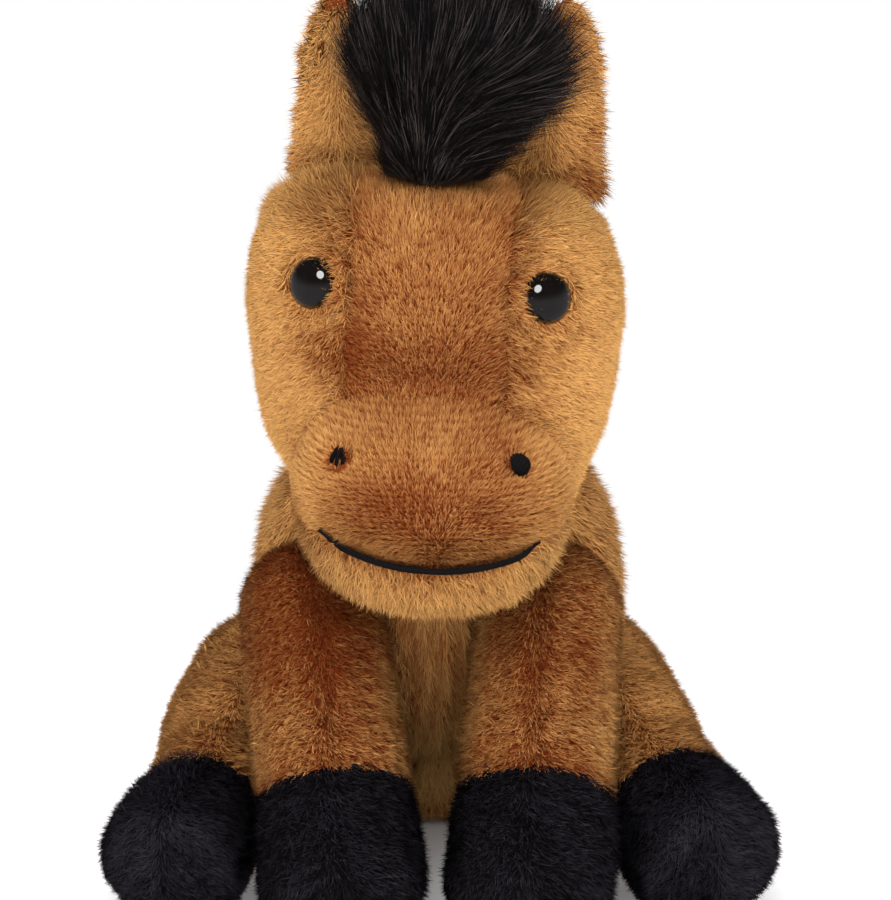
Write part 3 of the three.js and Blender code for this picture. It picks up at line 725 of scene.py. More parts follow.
def long_lock():
    """One lock of long pile, a tapering ribbon of unit length and width that bends towards +X."""
    points, across, along = [], [], []
    for step in range(LONG_STEPS):
        share = step / LONG_STEPS
        half = 0.5 * (LONG_WAIST + (1 - LONG_WAIST) * math.sin(math.pi * min(1.0, share + LONG_BELLY)))
        for side in (-1, 1):
            points.append((LONG_BEND * share ** LONG_BEND_POWER, side * half, share))
            across.append((side + 1) / 2)
            along.append(share)
    faces = [(2 * i, 2 * i + 1, 2 * i + 3, 2 * i + 2) for i in range(LONG_STEPS - 1)]
    faces.append((2 * LONG_STEPS - 2, 2 * LONG_STEPS - 1, 2 * LONG_STEPS))
    return [*points, (LONG_BEND, 0, 1)], faces, [*across, 0.5], [*along, 1.0]


LOCKS = {"short_lock": short_lock, "long_lock": long_lock}


def lock(kind):
    """The lock that a kind of pile is made of."""
    if kind not in bpy.data.objects:
        points, faces, across, along = LOCKS[kind]()
        mesh = bpy.data.meshes.new(kind)
        mesh.from_pydata(points, [], faces, shade_flat=False)
        set_values(mesh, across=across, along=along)
        placed(kind, mesh)
    return bpy.data.objects[kind]


def new_tree(name, sockets):
    """An empty geometry tree with the named inputs, as a wire at its input node."""
    tree = bpy.data.node_groups.new(name, "GeometryNodeTree")
    for way in ("OUTPUT", "INPUT"):
        tree.interface.new_socket("Geometry", in_out=way, socket_type="NodeSocketGeometry")
    for label, kind, start in sockets:
        made = tree.interface.new_socket(label, in_out="INPUT", socket_type="NodeSocket" + kind)
        if start is not None:
            made.default_value = start
    return Wire(tree).node("NodeGroupInput", output="Geometry")


def close_tree(given, geometry):
    """Gives the geometry its material and sends it out of the tree."""
    dressed = given.node("GeometryNodeSetMaterial", {
        "Geometry": geometry, "Material": given.out("Material")})
    given.node("NodeGroupOutput", {"Geometry": dressed})


def named(given, label, kind="FLOAT"):
    return given.node("GeometryNodeInputNamedAttribute", {"Name": label}, "Attribute", data_type=kind)


def stored(geometry, label, value, kind="FLOAT", domain="POINT"):
    return geometry.node("GeometryNodeStoreNamedAttribute", {
        "Geometry": geometry, "Name": label, "Value": value}, data_type=kind, domain=domain)


def chance(given, step, low, high, kind="FLOAT"):
    """A random value, drawn with the tree's seed and a step of its own."""
    return given.node("FunctionNodeRandomValue", {
        "Min": low, "Max": high, "Seed": given.out("Seed") + step}, "Value", data_type=kind)


def copies(given, label, points, ahead, side, size):
    """One copy of an input object on each point, its Z turned ahead and its X to the side."""
    turn = given.node("FunctionNodeAxesToRotation", {"Primary Axis": ahead, "Secondary Axis": side},
                      primary_axis="Z", secondary_axis="X")
    shape = given.node("GeometryNodeObjectInfo", {"Object": given.out(label), "As Instance": False},
                       "Geometry", transform_space="ORIGINAL")
    return given.node("GeometryNodeInstanceOnPoints", {
        "Points": points, "Rotation": turn, "Scale": size, "Instance": shape})


def pile_roots(given):
    """Random points on the outside of the skin, each with the way that the skin faces there."""
    grown, outside = (named(given, label).math("GREATER_THAN", MIDDLE) for label in ("grow", "outside"))
    roots = given.node("GeometryNodeDistributePointsOnFaces", {
        "Mesh": given, "Selection": grown * outside, "Seed": given.out("Seed"),
        "Density": given.out("Density") * named(given, "thick")}, distribute_method="RANDOM")
    return stored(roots, "up", roots.out("Normal"), "FLOAT_VECTOR")


def pile_patterns(given, comb):
    """The noise that gathers tufts into clumps, and the rows of the knitted backing as an angle."""
    spot = given.node("GeometryNodeInputPosition", output="Position")
    run = spot.vector("DOT_PRODUCT", comb, output="Value")
    drawn = spot.vector("SUBTRACT", comb.scaled(CLUMP_STRETCH * run))
    cloud = given.node("ShaderNodeTexNoise", {
        "Vector": drawn, "Scale": 1 / given.out("Clump"), "Detail": 1.0}, "Fac", noise_dimensions="3D")
    return cloud, FULL_TURN * (spot.axis("Z") / given.out("Rib") + ROW_WANDER * cloud)


def pile_drift(given, cloud, row):
    """How far each tuft strays from the way that it is combed."""
    stray = chance(given, STRAY_STEP, (-1, -1, -1), (1, 1, 1), "FLOAT_VECTOR").scaled(given.out("Scatter"))
    swirl = cloud.out("Color").vector("SUBTRACT", (MIDDLE, MIDDLE, MIDDLE))
    gather = given.node("ShaderNodeCombineXYZ", {"Z": row.math("SINE") * (-1 * given.out("Rib lean"))})
    swirl = swirl.scaled(CLUMP_SWIRL * given.out("Clump lean"))
    return stray.vector("ADD", swirl).vector("ADD", gather)


def pile_size(given, cloud):
    uneven = (1 + given.out("Length spread") * chance(given, HEIGHT_STEP, -1.0, 1.0)
              + given.out("Clump tone") * (cloud - MIDDLE))
    tall = given.out("Length") * named(given, "long") * uneven
    wide = given.out("Width") * chance(given, WIDTH_STEP, *WIDTH_RANGE)
    return given.node("ShaderNodeCombineXYZ", {"X": tall, "Y": wide, "Z": tall})


def mapped_pile(given, tufts, cloud, row):
    """The tufts as plain mesh, with their tone, painted light and shade by clump and by row included, and
    the place along them in the map.
    """
    tone = named(given, "tone") + given.out("Tone spread") * chance(given, TONE_STEP, -1.0, 1.0)
    # Painted light and shade: the tone rises and falls with the clumps and with the rows of the backing
    tone = tone + given.out("Clump tone") * CLUMP_CONTRAST * (cloud - MIDDLE)
    tone = tone + given.out("Rib tone") * row.math("COSINE")
    tinted = stored(tufts, "tint", tone.clamped() * TONE_TOP, domain="INSTANCE")
    real = given.node("GeometryNodeRealizeInstances", {"Geometry": tinted})
    mark = given.node("ShaderNodeCombineXYZ", {
        "X": named(given, "tint") + MAP_ACROSS * named(given, "across"),
        "Y": MAP_START + MAP_LENGTH * named(given, "along")})
    return stored(real, PILE_MAP, mark, "FLOAT2", "CORNER")


def softened(given, geometry):
    """Short pile takes its shading from the skin below it, so that a coat looks even."""
    facing = named(given, "facing", "FLOAT_VECTOR")
    is_pile = facing.vector("LENGTH", output="Value") * given.out("Soft")
    own = given.node("GeometryNodeInputNormal", output="Normal")
    shown = given.node("GeometryNodeSwitch", {
        "Switch": is_pile.math("GREATER_THAN", MIDDLE), "False": own, "True": facing}, input_type="VECTOR")
    return given.node("GeometryNodeSetMeshNormal", {"Mesh": geometry, "Custom Normal": shown},
                      mode="FREE", domain="POINT")


def pile_tree():
    """Locks of pile spread over the outside of a skin, each leaning the way that it is combed."""
    name = "plush_pile"
    if name in bpy.data.node_groups:
        return bpy.data.node_groups[name]
    given = new_tree(name, PILE_SOCKETS)
    roots = pile_roots(given)
    up, comb = (named(given, label, "FLOAT_VECTOR") for label in ("up", "comb"))
    lean = given.out("Lean") * named(given, "flat") * chance(given, LEAN_STEP, *LEAN_RANGE)
    lean = lean.math("MINIMUM", STEEPEST_LEAN)
    cloud, row = pile_patterns(given, comb)
    drift = pile_drift(given, cloud, row)
    aim = up.scaled(lean.math("COSINE")).vector("ADD", comb.scaled(lean.math("SINE"))).vector("ADD", drift)
    facing = up.vector("ADD", aim.scaled(SOFT_FACING)).vector("NORMALIZE")
    roots = stored(roots, "facing", facing, "FLOAT_VECTOR")
    tufts = copies(given, "Lock", roots, aim, comb.vector("ADD", drift), pile_size(given, cloud))
    both = given.node("GeometryNodeJoinGeometry", {"Geometry": mapped_pile(given, tufts, cloud, row)})
    given.tree.links.new(given.socket, both.socket.node.inputs["Geometry"])
    close_tree(given, softened(given, both))
    return given.tree


def run_tree(tree, mesh, name, wanted, spare):
    """Runs a tree over a mesh and returns a plain object without the spare attributes."""
    holder = placed(name + "_work", mesh)
    modifier = holder.modifiers.new("tree", "NODES")
    modifier.node_group = tree
    for item in tree.interface.items_tree:
        if item.item_type == "SOCKET" and item.in_out == "INPUT" and item.name in wanted:
            modifier[item.identifier] = wanted[item.name]
    shown = holder.evaluated_get(bpy.context.evaluated_depsgraph_get())
    made = bpy.data.meshes.new_from_object(shown)
    made.name = name
    bpy.data.objects.remove(holder)
    for key in spare:
        if key in made.attributes:
            made.attributes.remove(made.attributes[key])
    made.materials.clear()
    made.materials.append(wanted["Material"])
    return placed(name, made)


def grow(mesh, name, settings, pile_name):
    """Grows pile on a mesh and returns the finished plain object."""
    wanted = {**settings, "Material": pile(pile_name)}
    piece = run_tree(pile_tree(), mesh, name, wanted, PILE_ATTRIBUTES)
    rest_on_floor(piece.data)
    return piece


def rest_on_floor(mesh):
    """Pile that would reach through the floor lies pressed flat on it."""
    points = np.zeros(len(mesh.vertices) * 3, np.float32)
    mesh.vertices.foreach_get("co", points)
    under = np.maximum(PILE_ON_FLOOR - points[2::3], 0)
    points[2::3] += (1 + PILE_SPRING) * under
    mesh.vertices.foreach_set("co", points)


def settle(piece, body, slot, *nodes):
    """Hands a finished piece to the frame."""
    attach(piece, body)
    if nodes:
        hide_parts(*nodes)


def coat(length_mm, lean, seed, density=1.0, kind="short_lock", **changes):
    """The inputs of the pile tree for one kind of pile, with those named here changed."""
    chosen = {
        "length": length_mm * MM, "lean": math.radians(lean), "seed": seed, "lock": lock(kind),
        "density": sizes().pile_per_mm * density * PER_SQUARE_METRE, "width": sizes().pile_width,
        "scatter": 0.16, "tone_spread": 0.12, "length_spread": 0.25, "clump": sizes().clump,
        "clump_lean": 0.4, "clump_tone": 0.3, "rib": sizes().rib, "rib_tone": 0.0, "rib_lean": 0.0,
        "soft": 1.0, **changes,
    }
    return {key.replace("_", " ").capitalize(): value for key, value in chosen.items()}


def hair(length_mm, lean, seed, **changes):
    """The long pile of the mane and the tail."""
    return coat(length_mm, lean, seed, kind="long_lock", width=sizes().hair_width, tone_spread=0.6,
                soft=0.0, **changes)


def others_than(body):
    """The CAD solids of the other bodies, without the trim."""
    soft = [n for n in frame["nodes"] if not n.startswith(("eye", "nostril", "mouth"))]
    return [n for n in soft if frame["nodes"][n]["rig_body"] != body]


def nap(skin, tone, spread, offset, size=0.011):
    """Patches where the pile lies differently and looks lighter or darker."""
    skin.tone = skin.tone - MIDDLE + tone + spread * clouds(skin.points, size, offset)


def dress(skin, body, pieces):
    """Grows each panel's pile and hands it over. A piece is a node, its coat, its pile and its slot."""
    for panel, (node, settings, pile_name, slot) in enumerate(pieces):
        made = grow(panel_mesh(skin, panel, node), node + "_plush", settings, pile_name)
        settle(made, body, slot, node)


# Torso

TORSO_SIDEWAYS = (1, 0.3, 0)
TORSO_COMB = (0, 0.2, -0.9)
TORSO_OUTWARDS = 0.5
FLANK_PAINTED_LIGHT = (0.026, 0.040)
FOLD_PITCH = 0.0046
FOLD_WANDER = 0.02
FOLD_SWAY = 0.5
FOLD_DEPTH = 0.0007
LOW_BELLY = (0.015, 0.045)
# Tones of the torso: painted light on the flank and near the floor, painted shade in the folds' valleys,
# and the gusset's own tone
TORSO_TONES = {"flank_painted_light": 0.2, "gusset": -0.34, "fold": 0.16, "belly": 0.5}


def fold_gusset(skin):
    """Lays the lighter gusset in upright folds, with painted shade between them and painted light near the
    floor, where the gusset lies in shade between the legs.
    """
    gusset = skin.panel == 1
    wander = clouds(skin.points, FOLD_WANDER, offset=1.1)
    fold = np.sin(FULL_TURN * (skin.x / FOLD_PITCH + FOLD_SWAY * wander))
    skin.push(-FOLD_DEPTH * (1 - fold) * gusset)
    belly = 1 - ramp(skin.z, *LOW_BELLY)
    tones = TORSO_TONES
    # Painted shade in the folds' valleys and painted light low on the gusset
    skin.tone += gusset * (tones["fold"] * fold + tones["gusset"] + tones["belly"] * belly)


class HORSE_OT_torso(bpy.types.Operator):
    """Sews the torso cover and the lighter chest gusset and grows their pile"""

    bl_idname = "horse.torso"
    bl_label = "Torso"

    def execute(self, context):
        nodes = ["torso_cover", "belly_gusset"]
        skin = outer_skin([*nodes, "torso_stuffing", "pellet_pouch"], sizes().skin_grid, smoothing=6)
        fill_out(skin, offset=3.1)
        panels_of(skin, nodes)
        outwards = unit(skin.points * TORSO_SIDEWAYS)
        skin.comb = tangent(outwards * TORSO_OUTWARDS + np.array(TORSO_COMB), skin.normals)
        lift_off_floor(skin)
        hide_sockets(skin, others_than("torso"), CLOSE_ROOM)
        bare_underside(skin)
        nap(skin, tone=0.68, spread=0.18, offset=7.7)
        # Painted light along the outer edge of the left flank
        skin.tone += TORSO_TONES["flank_painted_light"] * ramp(-skin.x, *FLANK_PAINTED_LIGHT)
        fold_gusset(skin)
        cover = coat(length_mm=3.4, lean=38, seed=10, density=0.46, clump_lean=0.6, clump_tone=0.6)
        gusset = coat(length_mm=4.0, lean=50, seed=11, clump_lean=0.5, clump_tone=0.5)
        dress(skin, "torso", [("torso_cover", cover, "brown_pile", "brown_plush"),
                              ("belly_gusset", gusset, "light_pile", "light_plush")])
        return {"FINISHED"}


# Head

HEAD_PANELS = ["forehead_gusset", "head_side_left", "head_side_right", "muzzle_panel", "chin_panel"]
HEAD_INSET = 0.0006
HOLLOW_SIDE = (0.018, 0.036)
COMB_PARTING = 0.012
CROWN = (-0.012, -0.003)
CROWN_LONGER = 0.9
LIP_LIGHT = (0.001, 0.009)
EYE_SHADE = 0.16
EYE_SHADE_RADIUS = 0.009
CHEEK_LIGHT = (0.013, 0.032)
MUZZLE_SIDE_LIGHT = (0.012, 0.030)
TEMPLE_LIGHT = (0.146, 0.166)
FOREHEAD_TOP_LIGHT = (-0.004, 0.05)
MUZZLE_TOP_LIGHT = (-0.022, 0.0)
EYE_HOLLOW = 0.004
# Painted shade on the forehead, the middle of the muzzle and the inner side panels; painted light up the
# forehead and the muzzle's top, on the outer cheeks and muzzle, the temples and above the lip; the chin is
# made lighter
HEAD_TONES = {
    "forehead": -0.26, "up_face": 0.09, "side": -0.18, "cheek": 0.53, "temple": 0.16, "muzzle": -0.3,
    "up_muzzle": 0.14, "muzzle_side": 0.36, "lip": 0.2, "chin": 0.18,
}

# Of each hollow in the head's sides: its side, height, half length and depth

HOLLOWS = ((-1, 0.117, 0.016, 0.0014), (1, 0.156, 0.012, 0.0017))

# Of each panel in their order: the pile's way across, back and up

HEAD_COMB = ((0.3, 1.0, 0.5), (0.7, 0.4, -0.6), (0.7, 0.4, -0.6), (0.4, 1.0, 0.5), (0.35, 0.0, -1))

# Of each patch of painted light and shade on the face, standing for how the pile catches the light: its
# middle across and up, half width and height, and tone, below nought for shade

FACE_LIGHT_AND_SHADE = (
    (-0.0260, 0.1610, 0.0065, 0.0090, -0.42),
    (0.0180, 0.1620, 0.0040, 0.0090, -0.08),
    (-0.0250, 0.1335, 0.0072, 0.0065, -0.52),
    (0.0195, 0.1335, 0.0065, 0.0050, -0.05),
    (0.0320, 0.1370, 0.0040, 0.0040, -0.34),
    (-0.0060, 0.1340, 0.0100, 0.0060, -0.10),
    (0.0030, 0.1640, 0.0100, 0.0040, -0.08),
    (0.0140, 0.1170, 0.0080, 0.0050, -0.08),
    (-0.0100, 0.1040, 0.0100, 0.0060, -0.08),
    (0.0150, 0.1400, 0.0060, 0.0070, 0.16),
    (-0.0210, 0.0890, 0.0070, 0.0060, 0.16),
)


def head_skin():
    """The filled head, with its sides drawn in a little unevenly, and the middle of it across."""
    skin = outer_skin([*HEAD_PANELS, "head_stuffing"], sizes().skin_grid, smoothing=5, inset=HEAD_INSET)
    middle = centre_of(skin.points)[0]
    fill_out(skin, offset=1.3, amount=0.7)
    for side, height, half, depth in HOLLOWS:
        out = (skin.x - middle) * side
        skin.x[:] -= side * (depth * hill(skin.z - height, half) * ramp(out, *HOLLOW_SIDE))
    panels_of(skin, HEAD_PANELS)
    return skin, middle


def comb_head(skin, middle, eyes):
    """Combs each panel its own way, and parts the pile round the eyes, the nostrils and the mouth."""
    side = np.clip((skin.x - middle) / COMB_PARTING, -1, 1)
    across, back, up = np.array(HEAD_COMB)[skin.panel].T
    skin.lay(side * across, back, up)
    hide_sockets(skin, others_than("head"))
    for name in SIDES:
        nostril = tree_of([f"nostril_{name}"])
        part_pile(skin, nostril, clear=0.0004, reach=0.003, shortest=0.5, drop=nostril_drop(name))
    for top, _ in eyes:
        part_round_eye(skin, top)
    start, end = (skin.z.max() + below for below in CROWN)
    skin.long *= 1 + CROWN_LONGER * ramp(skin.z, start, end)
    part_pile(skin, tree_of(["mouth"]), clear=0.0001, reach=0.0020, shortest=0.8)


def shade_head(skin, middle, eyes):
    """Paints shade into the forehead, the middle of the muzzle and the pile round the eyes, and paints
    light onto the cheeks, the temples, the tops of the forehead and muzzle and the lip, over the random
    nap; the chin is made lighter.
    """
    nap(skin, tone=0.5, spread=0.14, offset=2.2)
    # Painted shade round each eye
    for top, _ in eyes:
        skin.tone -= EYE_SHADE * hill(np.linalg.norm(skin.points - top, axis=1), EYE_SHADE_RADIUS)
    # Patches of painted light and shade on the face
    for across, up, wide, high, amount in FACE_LIGHT_AND_SHADE:
        blot = ((skin.x - across) / wide) ** 2 + ((skin.z - up) / high) ** 2
        skin.tone += amount * np.exp(-blot) * skin.in_front
    aside = np.abs(skin.x - middle)
    lip = 1 - ramp(distances(tree_of(["mouth"]), skin.points)[0], *LIP_LIGHT)
    muzzle_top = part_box("muzzle_panel")[1][2]
    up_face, up_muzzle = (ramp(skin.z, muzzle_top + low, muzzle_top + high)
                          for low, high in (FOREHEAD_TOP_LIGHT, MUZZLE_TOP_LIGHT))
    # Painted light and shade on each panel, and the chin made lighter
    tones = HEAD_TONES
    forehead = tones["up_face"] * up_face + tones["forehead"]
    cheek = tones["cheek"] * ramp(aside, *CHEEK_LIGHT) + tones["side"] + tones["temple"] * ramp(skin.z, *TEMPLE_LIGHT)
    muzzle = (tones["up_muzzle"] * up_muzzle + tones["muzzle"]
              + tones["muzzle_side"] * ramp(aside, *MUZZLE_SIDE_LIGHT) + tones["lip"] * lip)
    for panel, shade in enumerate((forehead, cheek, cheek, muzzle, tones["chin"])):
        skin.tone += np.where(skin.panel == panel, shade, 0)


class HORSE_OT_head(bpy.types.Operator):
    """Sews the head from its panels, sinks the eyes and grows the pile round the trim"""

    bl_idname = "horse.head"
    bl_label = "Head"

    def execute(self, context):
        skin, middle = head_skin()
        eyes = [eye_place(side) for side in SIDES]
        for top, axis in eyes:
            sink(skin, top - axis * EYE_HOLLOW, radius=0.009, depth=0.0006)
            level_recess(skin, top, axis, radius=0.0085, depth=0.0042)
        comb_head(skin, middle, eyes)
        shade_head(skin, middle, eyes)
        ruffled = {"scatter": 0.25, "clump_lean": 0.75, "clump_tone": 0.8}
        coats = [
            coat(length_mm=2.0, lean=28, seed=21, clump_lean=0.4, clump_tone=0.4,
                 rib_tone=0.08, rib_lean=0.25),
            coat(length_mm=2.6, lean=34, seed=22, **ruffled),
            coat(length_mm=2.6, lean=34, seed=23, **ruffled),
            coat(length_mm=1.9, lean=28, seed=24, clump_lean=0.35, clump_tone=0.35,
                 rib_tone=0.1, rib_lean=0.3),
            coat(length_mm=3.8, lean=46, seed=25, scatter=0.28, clump_lean=0.85, clump_tone=0.85),
        ]
        slots = ["brown_plush"] * 4 + ["light_plush"]
        piles = ["brown_pile"] * 5
        dress(skin, "head", zip(HEAD_PANELS, coats, piles, slots))
        return {"FINISHED"}


# Ears

EAR_GRID = 0.0010
EAR_BASE = 0.026
EAR_ROOM = 0.0005
EAR_PARTING = 0.008
EAR_PATCH = 0.008
HANG_HEIGHT = 0.012
EAR_FOOT_SHADE = (0.002, 0.010)
EAR_FALL = -0.3
HANG_FALL = 0.9
HANG_LONGER = 0.5
EAR_SEED = 31
# Tones of the ears: the lining's own lighter tone, and painted shade at the foot where the ear meets the
# head
EAR_TONES = {"lining": 0.1, "foot": -0.3}

# Of each ear: how far its skin is drawn in, its tone (the right ear's raised with painted light, as it
# lies in shade), how far that varies, and if pile hangs at its foot

EARS = {"ear_left": (0.0004, 0.54, 0.25, 1), "ear_right": (0.0017, 0.8, 0.15, 0)}


class HORSE_OT_ears(bpy.types.Operator):
    """Makes the two ears, each of an outer layer and a lining"""

    bl_idname = "horse.ears"
    bl_label = "Ears"

    def execute(self, context):
        for step, (body, (inset, tone, spread, hangs)) in enumerate(EARS.items()):
            nodes = [body + "_outer", body + "_lining"]
            skin = outer_skin(nodes, EAR_GRID, smoothing=4, base=EAR_BASE, inset=inset)
            middle = centre_of(skin.points)[0]
            foot = skin.z.min()
            panels_of(skin, nodes)
            side = np.clip((skin.x - middle) / EAR_PARTING, -1, 1)
            hang = (1 - ramp(skin.z, foot, foot + HANG_HEIGHT)) * (side > 0) * hangs
            skin.lay(side, 0, EAR_FALL - HANG_FALL * hang)
            skin.long += HANG_LONGER * hang
            hide_sockets(skin, ["forehead_gusset", "head_side_left", "head_side_right"], EAR_ROOM)
            nap(skin, tone, spread, offset=4.0 + step, size=EAR_PATCH)
            skin.tone[skin.panel == 1] += EAR_TONES["lining"]
            low, high = (foot + above for above in EAR_FOOT_SHADE)
            # Painted shade at the ear's foot
            skin.tone += EAR_TONES["foot"] * (1 - ramp(skin.z, low, high))
            seed = EAR_SEED + 2 * step
            outer, lining = (coat(length_mm=3.4, lean=40, seed=seed + i, scatter=0.3,
                                  clump_lean=0.8, clump_tone=0.7) for i in (0, 1))
            dress(skin, body, [(nodes[0], outer, "brown_pile", "brown_plush"),
                               (nodes[1], lining, "brown_pile", "ear_plush")])
        return {"FINISHED"}


# Legs

HOOF_REACH = 0.0028
LEG_PARTING = 0.004
CREASE_WIDTH = 0.0022
CREASE_DEPTH = 0.0007
CREASE_SHADE = 0.1
BORDER_PILE = (0.0006, 0.0045)
BORDER_TONE = (0.0, 0.0045)
LEG_SIDE_LIGHT = (0.6, 0.95)
LEG_TOP_SHADE = (0.046, 0.062)
HOOF_PATCH = 0.007
BORDER_SHORTEST = 0.4
LEG_COMB = (0.75, 0.0, -0.1)
LEG_COMB_DOWN = 0.55
LEG_SEED = 51
# Tones of the legs: random spread, painted light on the sides, the lighter border by the hoof and the
# hoof's random spread
LEG_TONES = {"spread": 0.18, "side": 0.22, "border": 0.42, "hoof_spread": 0.2}

# Of each leg: how far its skin is drawn in, its cover's tone, how much painted shade from the head darkens
# its top, its hoof's tone

LEGS = {
    "front_leg_left": (0.0003, 0.23, 0.12, 0.12),
    "front_leg_right": (0.0003, 0.23, 0.34, 0.12),
    "hind_leg_left": (0.0003, 0.66, 0.0, 0.42),
    "hind_leg_right": (0.0011, 0.56, 0.0, 0.42),
}


def comb_leg(skin, body):
    """Combs the pile down the leg and to both sides, and returns how far aside each point lies."""
    boxes = (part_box(body + part) for part in ("_hoof", "_cover"))
    foot, top = (np.array((low + high) / 2) for low, high in boxes)
    way = unit(foot - top)
    along = (skin.points - top) @ way
    off = skin.x - (top + along[:, None] * way)[:, 0]
    side = np.clip(off / LEG_PARTING, -1, 1)
    across, back, up = LEG_COMB
    down = LEG_COMB_DOWN * way
    skin.lay(across * side + down[0], back + down[1], up + down[2])
    return off


def crease_leg(skin, off):
    """The shallow crease down the front of a front leg's cover, with painted shade in it."""
    crease = hill(off, CREASE_WIDTH) * skin.in_front * (skin.panel == 0)
    skin.push(-CREASE_DEPTH * crease)
    # Painted shade in the crease
    skin.tone = skin.tone - CREASE_SHADE * crease


def shade_leg(skin, body, border, offset):
    """Sets the tones of the cover, its border along the hoof, and the hoof, with painted light on the
    cover's sides and painted shade at its top.
    """
    _, tone, top_shade, hoof_tone = LEGS[body]
    nap(skin, tone, LEG_TONES["spread"], offset)
    # Painted light along the sides of the leg
    skin.tone += LEG_TONES["side"] * ramp(np.abs(skin.normals[:, 0]), *LEG_SIDE_LIGHT)
    skin.tone += LEG_TONES["border"] * (1 - ramp(border, *BORDER_TONE))
    # Painted shade at the top of a front leg, under the head
    skin.tone -= top_shade * ramp(skin.z, *LEG_TOP_SHADE)
    hoof = skin.panel > 0
    patches = clouds(skin.points[hoof], HOOF_PATCH, offset=3.3)
    skin.tone[hoof] = hoof_tone + LEG_TONES["hoof_spread"] * patches


class HORSE_OT_legs(bpy.types.Operator):
    """Makes the four stuffed legs: brown cover, black hoof and sewn-in sole"""

    bl_idname = "horse.legs"
    bl_label = "Legs"

    def execute(self, context):
        for step, body in enumerate(LEGS):
            front = body.startswith("front")
            nodes = [body + part for part in ("_cover", "_hoof", "_sole")]
            inset = LEGS[body][0]
            skin = outer_skin([*nodes, body + "_stuffing"], sizes().skin_grid, smoothing=5, inset=inset)
            fill_out(skin, offset=5.0 + 1.7 * step)
            panels_of(skin, nodes, [(1, HOOF_REACH)])
            lift_off_floor(skin)
            off = comb_leg(skin, body)
            if front:
                crease_leg(skin, off)
            hide_sockets(skin, others_than(body))
            bare_underside(skin)
            border = distances(tree_of([body + "_hoof"]), skin.points)[0]
            by_border = BORDER_SHORTEST + (1 - BORDER_SHORTEST) * ramp(border, *BORDER_PILE)
            skin.long *= np.where(skin.panel == 0, by_border, 1)
            shade_leg(skin, body, border, offset=9.0 + 2.3 * step)
            seed = LEG_SEED + 4 * step
            cover = coat(length_mm=2.4, lean=34, seed=seed, density=1.0 if front else 0.9,
                         clump_lean=0.65, clump_tone=0.75, rib_tone=0.12, rib_lean=0.3)
            hoof, sole = (coat(length_mm=2.4, lean=38, seed=seed + i, density=0.9, clump_lean=0.9,
                               clump_tone=0.9, tone_spread=0.25) for i in (1, 2))
            dress(skin, body, [(nodes[0], cover, "brown_pile", "brown_plush"),
                               (nodes[1], hoof, "hoof_pile", "black_plush"),
                               (nodes[2], sole, "hoof_pile", "black_plush")])
        return {"FINISHED"}


# Mane and tail

MANE_GRID = 0.0011
MANE_ROOM = 0.0008
MANE_PATCH = 0.007
MANE_PARTING = 0.006
TAIL_ROOM = 0.0012
TAIL_PARTING = 0.008
FORELOCK_ASIDE = -0.004
FORELOCK_BELOW = 0.013
FORELOCK_DRIFT = 0.012
FORELOCK_WAVE = 0.22
LOBE_SIDE = (-0.004, 0.010)
LOBE_FOOT = (0.02, 0.2)
LOBE_TOP = (0.4, 0.8)
LOBE_COMB = (1.6, 0.3, -0.25)
FORELOCK_LENGTHS = {"foot": 0.5, "rise": 0.6, "lobe": 0.35}
LENGTH_RISE = (0.05, 0.5)
FOOT_RISE = (0.0, 0.35)
FOOT_LIFT = 0.003
FOOT_SPREAD = 0.45
LEFT_SIDE = (0.002, 0.016)
LEFT_RISE = (0.3, 0.9)
LEFT_INWARDS = 0.0035
LEFT_STRAIGHTER = 0.5
TOP_RISE = (0.8, 1.0)
TOP_UPRIGHT = 0.25
MANE_SEED = 81
MANE_TONE = -0.19
TAIL_TONE = -0.15
HAIR_TONE_SPREAD = 0.12
MANE_COMB = (0.6, 0.35, -0.9)
TAIL_COMB = (0.3, 0.3, -1.0)

# Of each lock of hair: its body, lean in degrees and share of the pile's density

HAIR = {"forelock": ("head", 76, 0.6), "crest_mane": ("head", 60, 0.3), "neck_mane": ("torso", 60, 0.3)}


def comb_forelock(skin, low, high):
    """Fans the forelock out from below its foot, with a lobe that falls to one side."""
    middle = (low[0] + high[0]) / 2
    centre = np.array((middle + FORELOCK_ASIDE, (low[1] + high[1]) / 2, low[2] - FORELOCK_BELOW))
    skin.comb = unit(skin.points - centre)
    skin.comb[:, 0] += FORELOCK_WAVE * clouds(skin.points, FORELOCK_DRIFT, offset=6.1)
    rise = (skin.z - low[2]) / (high[2] - low[2])
    lobe = ramp(skin.x, *LOBE_SIDE) * ramp(rise, *LOBE_FOOT) * (1 - ramp(rise, *LOBE_TOP))
    skin.comb += lobe[:, None] * np.array(LOBE_COMB)
    lengths = FORELOCK_LENGTHS
    skin.long = lengths["foot"] + lengths["rise"] * ramp(rise, *LENGTH_RISE) + lengths["lobe"] * lobe
    foot = 1 - ramp(rise, *FOOT_RISE)
    skin.z[:] += FOOT_LIFT * foot
    skin.x[:] += (skin.x - middle) * FOOT_SPREAD * foot
    left = ramp(middle - skin.x, *LEFT_SIDE) * ramp(rise, *LEFT_RISE)
    skin.x[:] += LEFT_INWARDS * left
    skin.comb[:, 0] *= 1 - LEFT_STRAIGHTER * left
    skin.flat = 1 - TOP_UPRIGHT * ramp(rise, *TOP_RISE)
    skin.comb = tangent(skin.comb, skin.normals)


def comb_hair(skin, parting, way):
    """Combs hair down and back, and to both sides of its parting."""
    across, back, up = way
    skin.lay(across * np.clip(skin.x / parting, -1, 1), back, up)


def shade_hair(skin, tone, offset):
    skin.tone = tone + HAIR_TONE_SPREAD * clouds(skin.points, MANE_PATCH, offset)


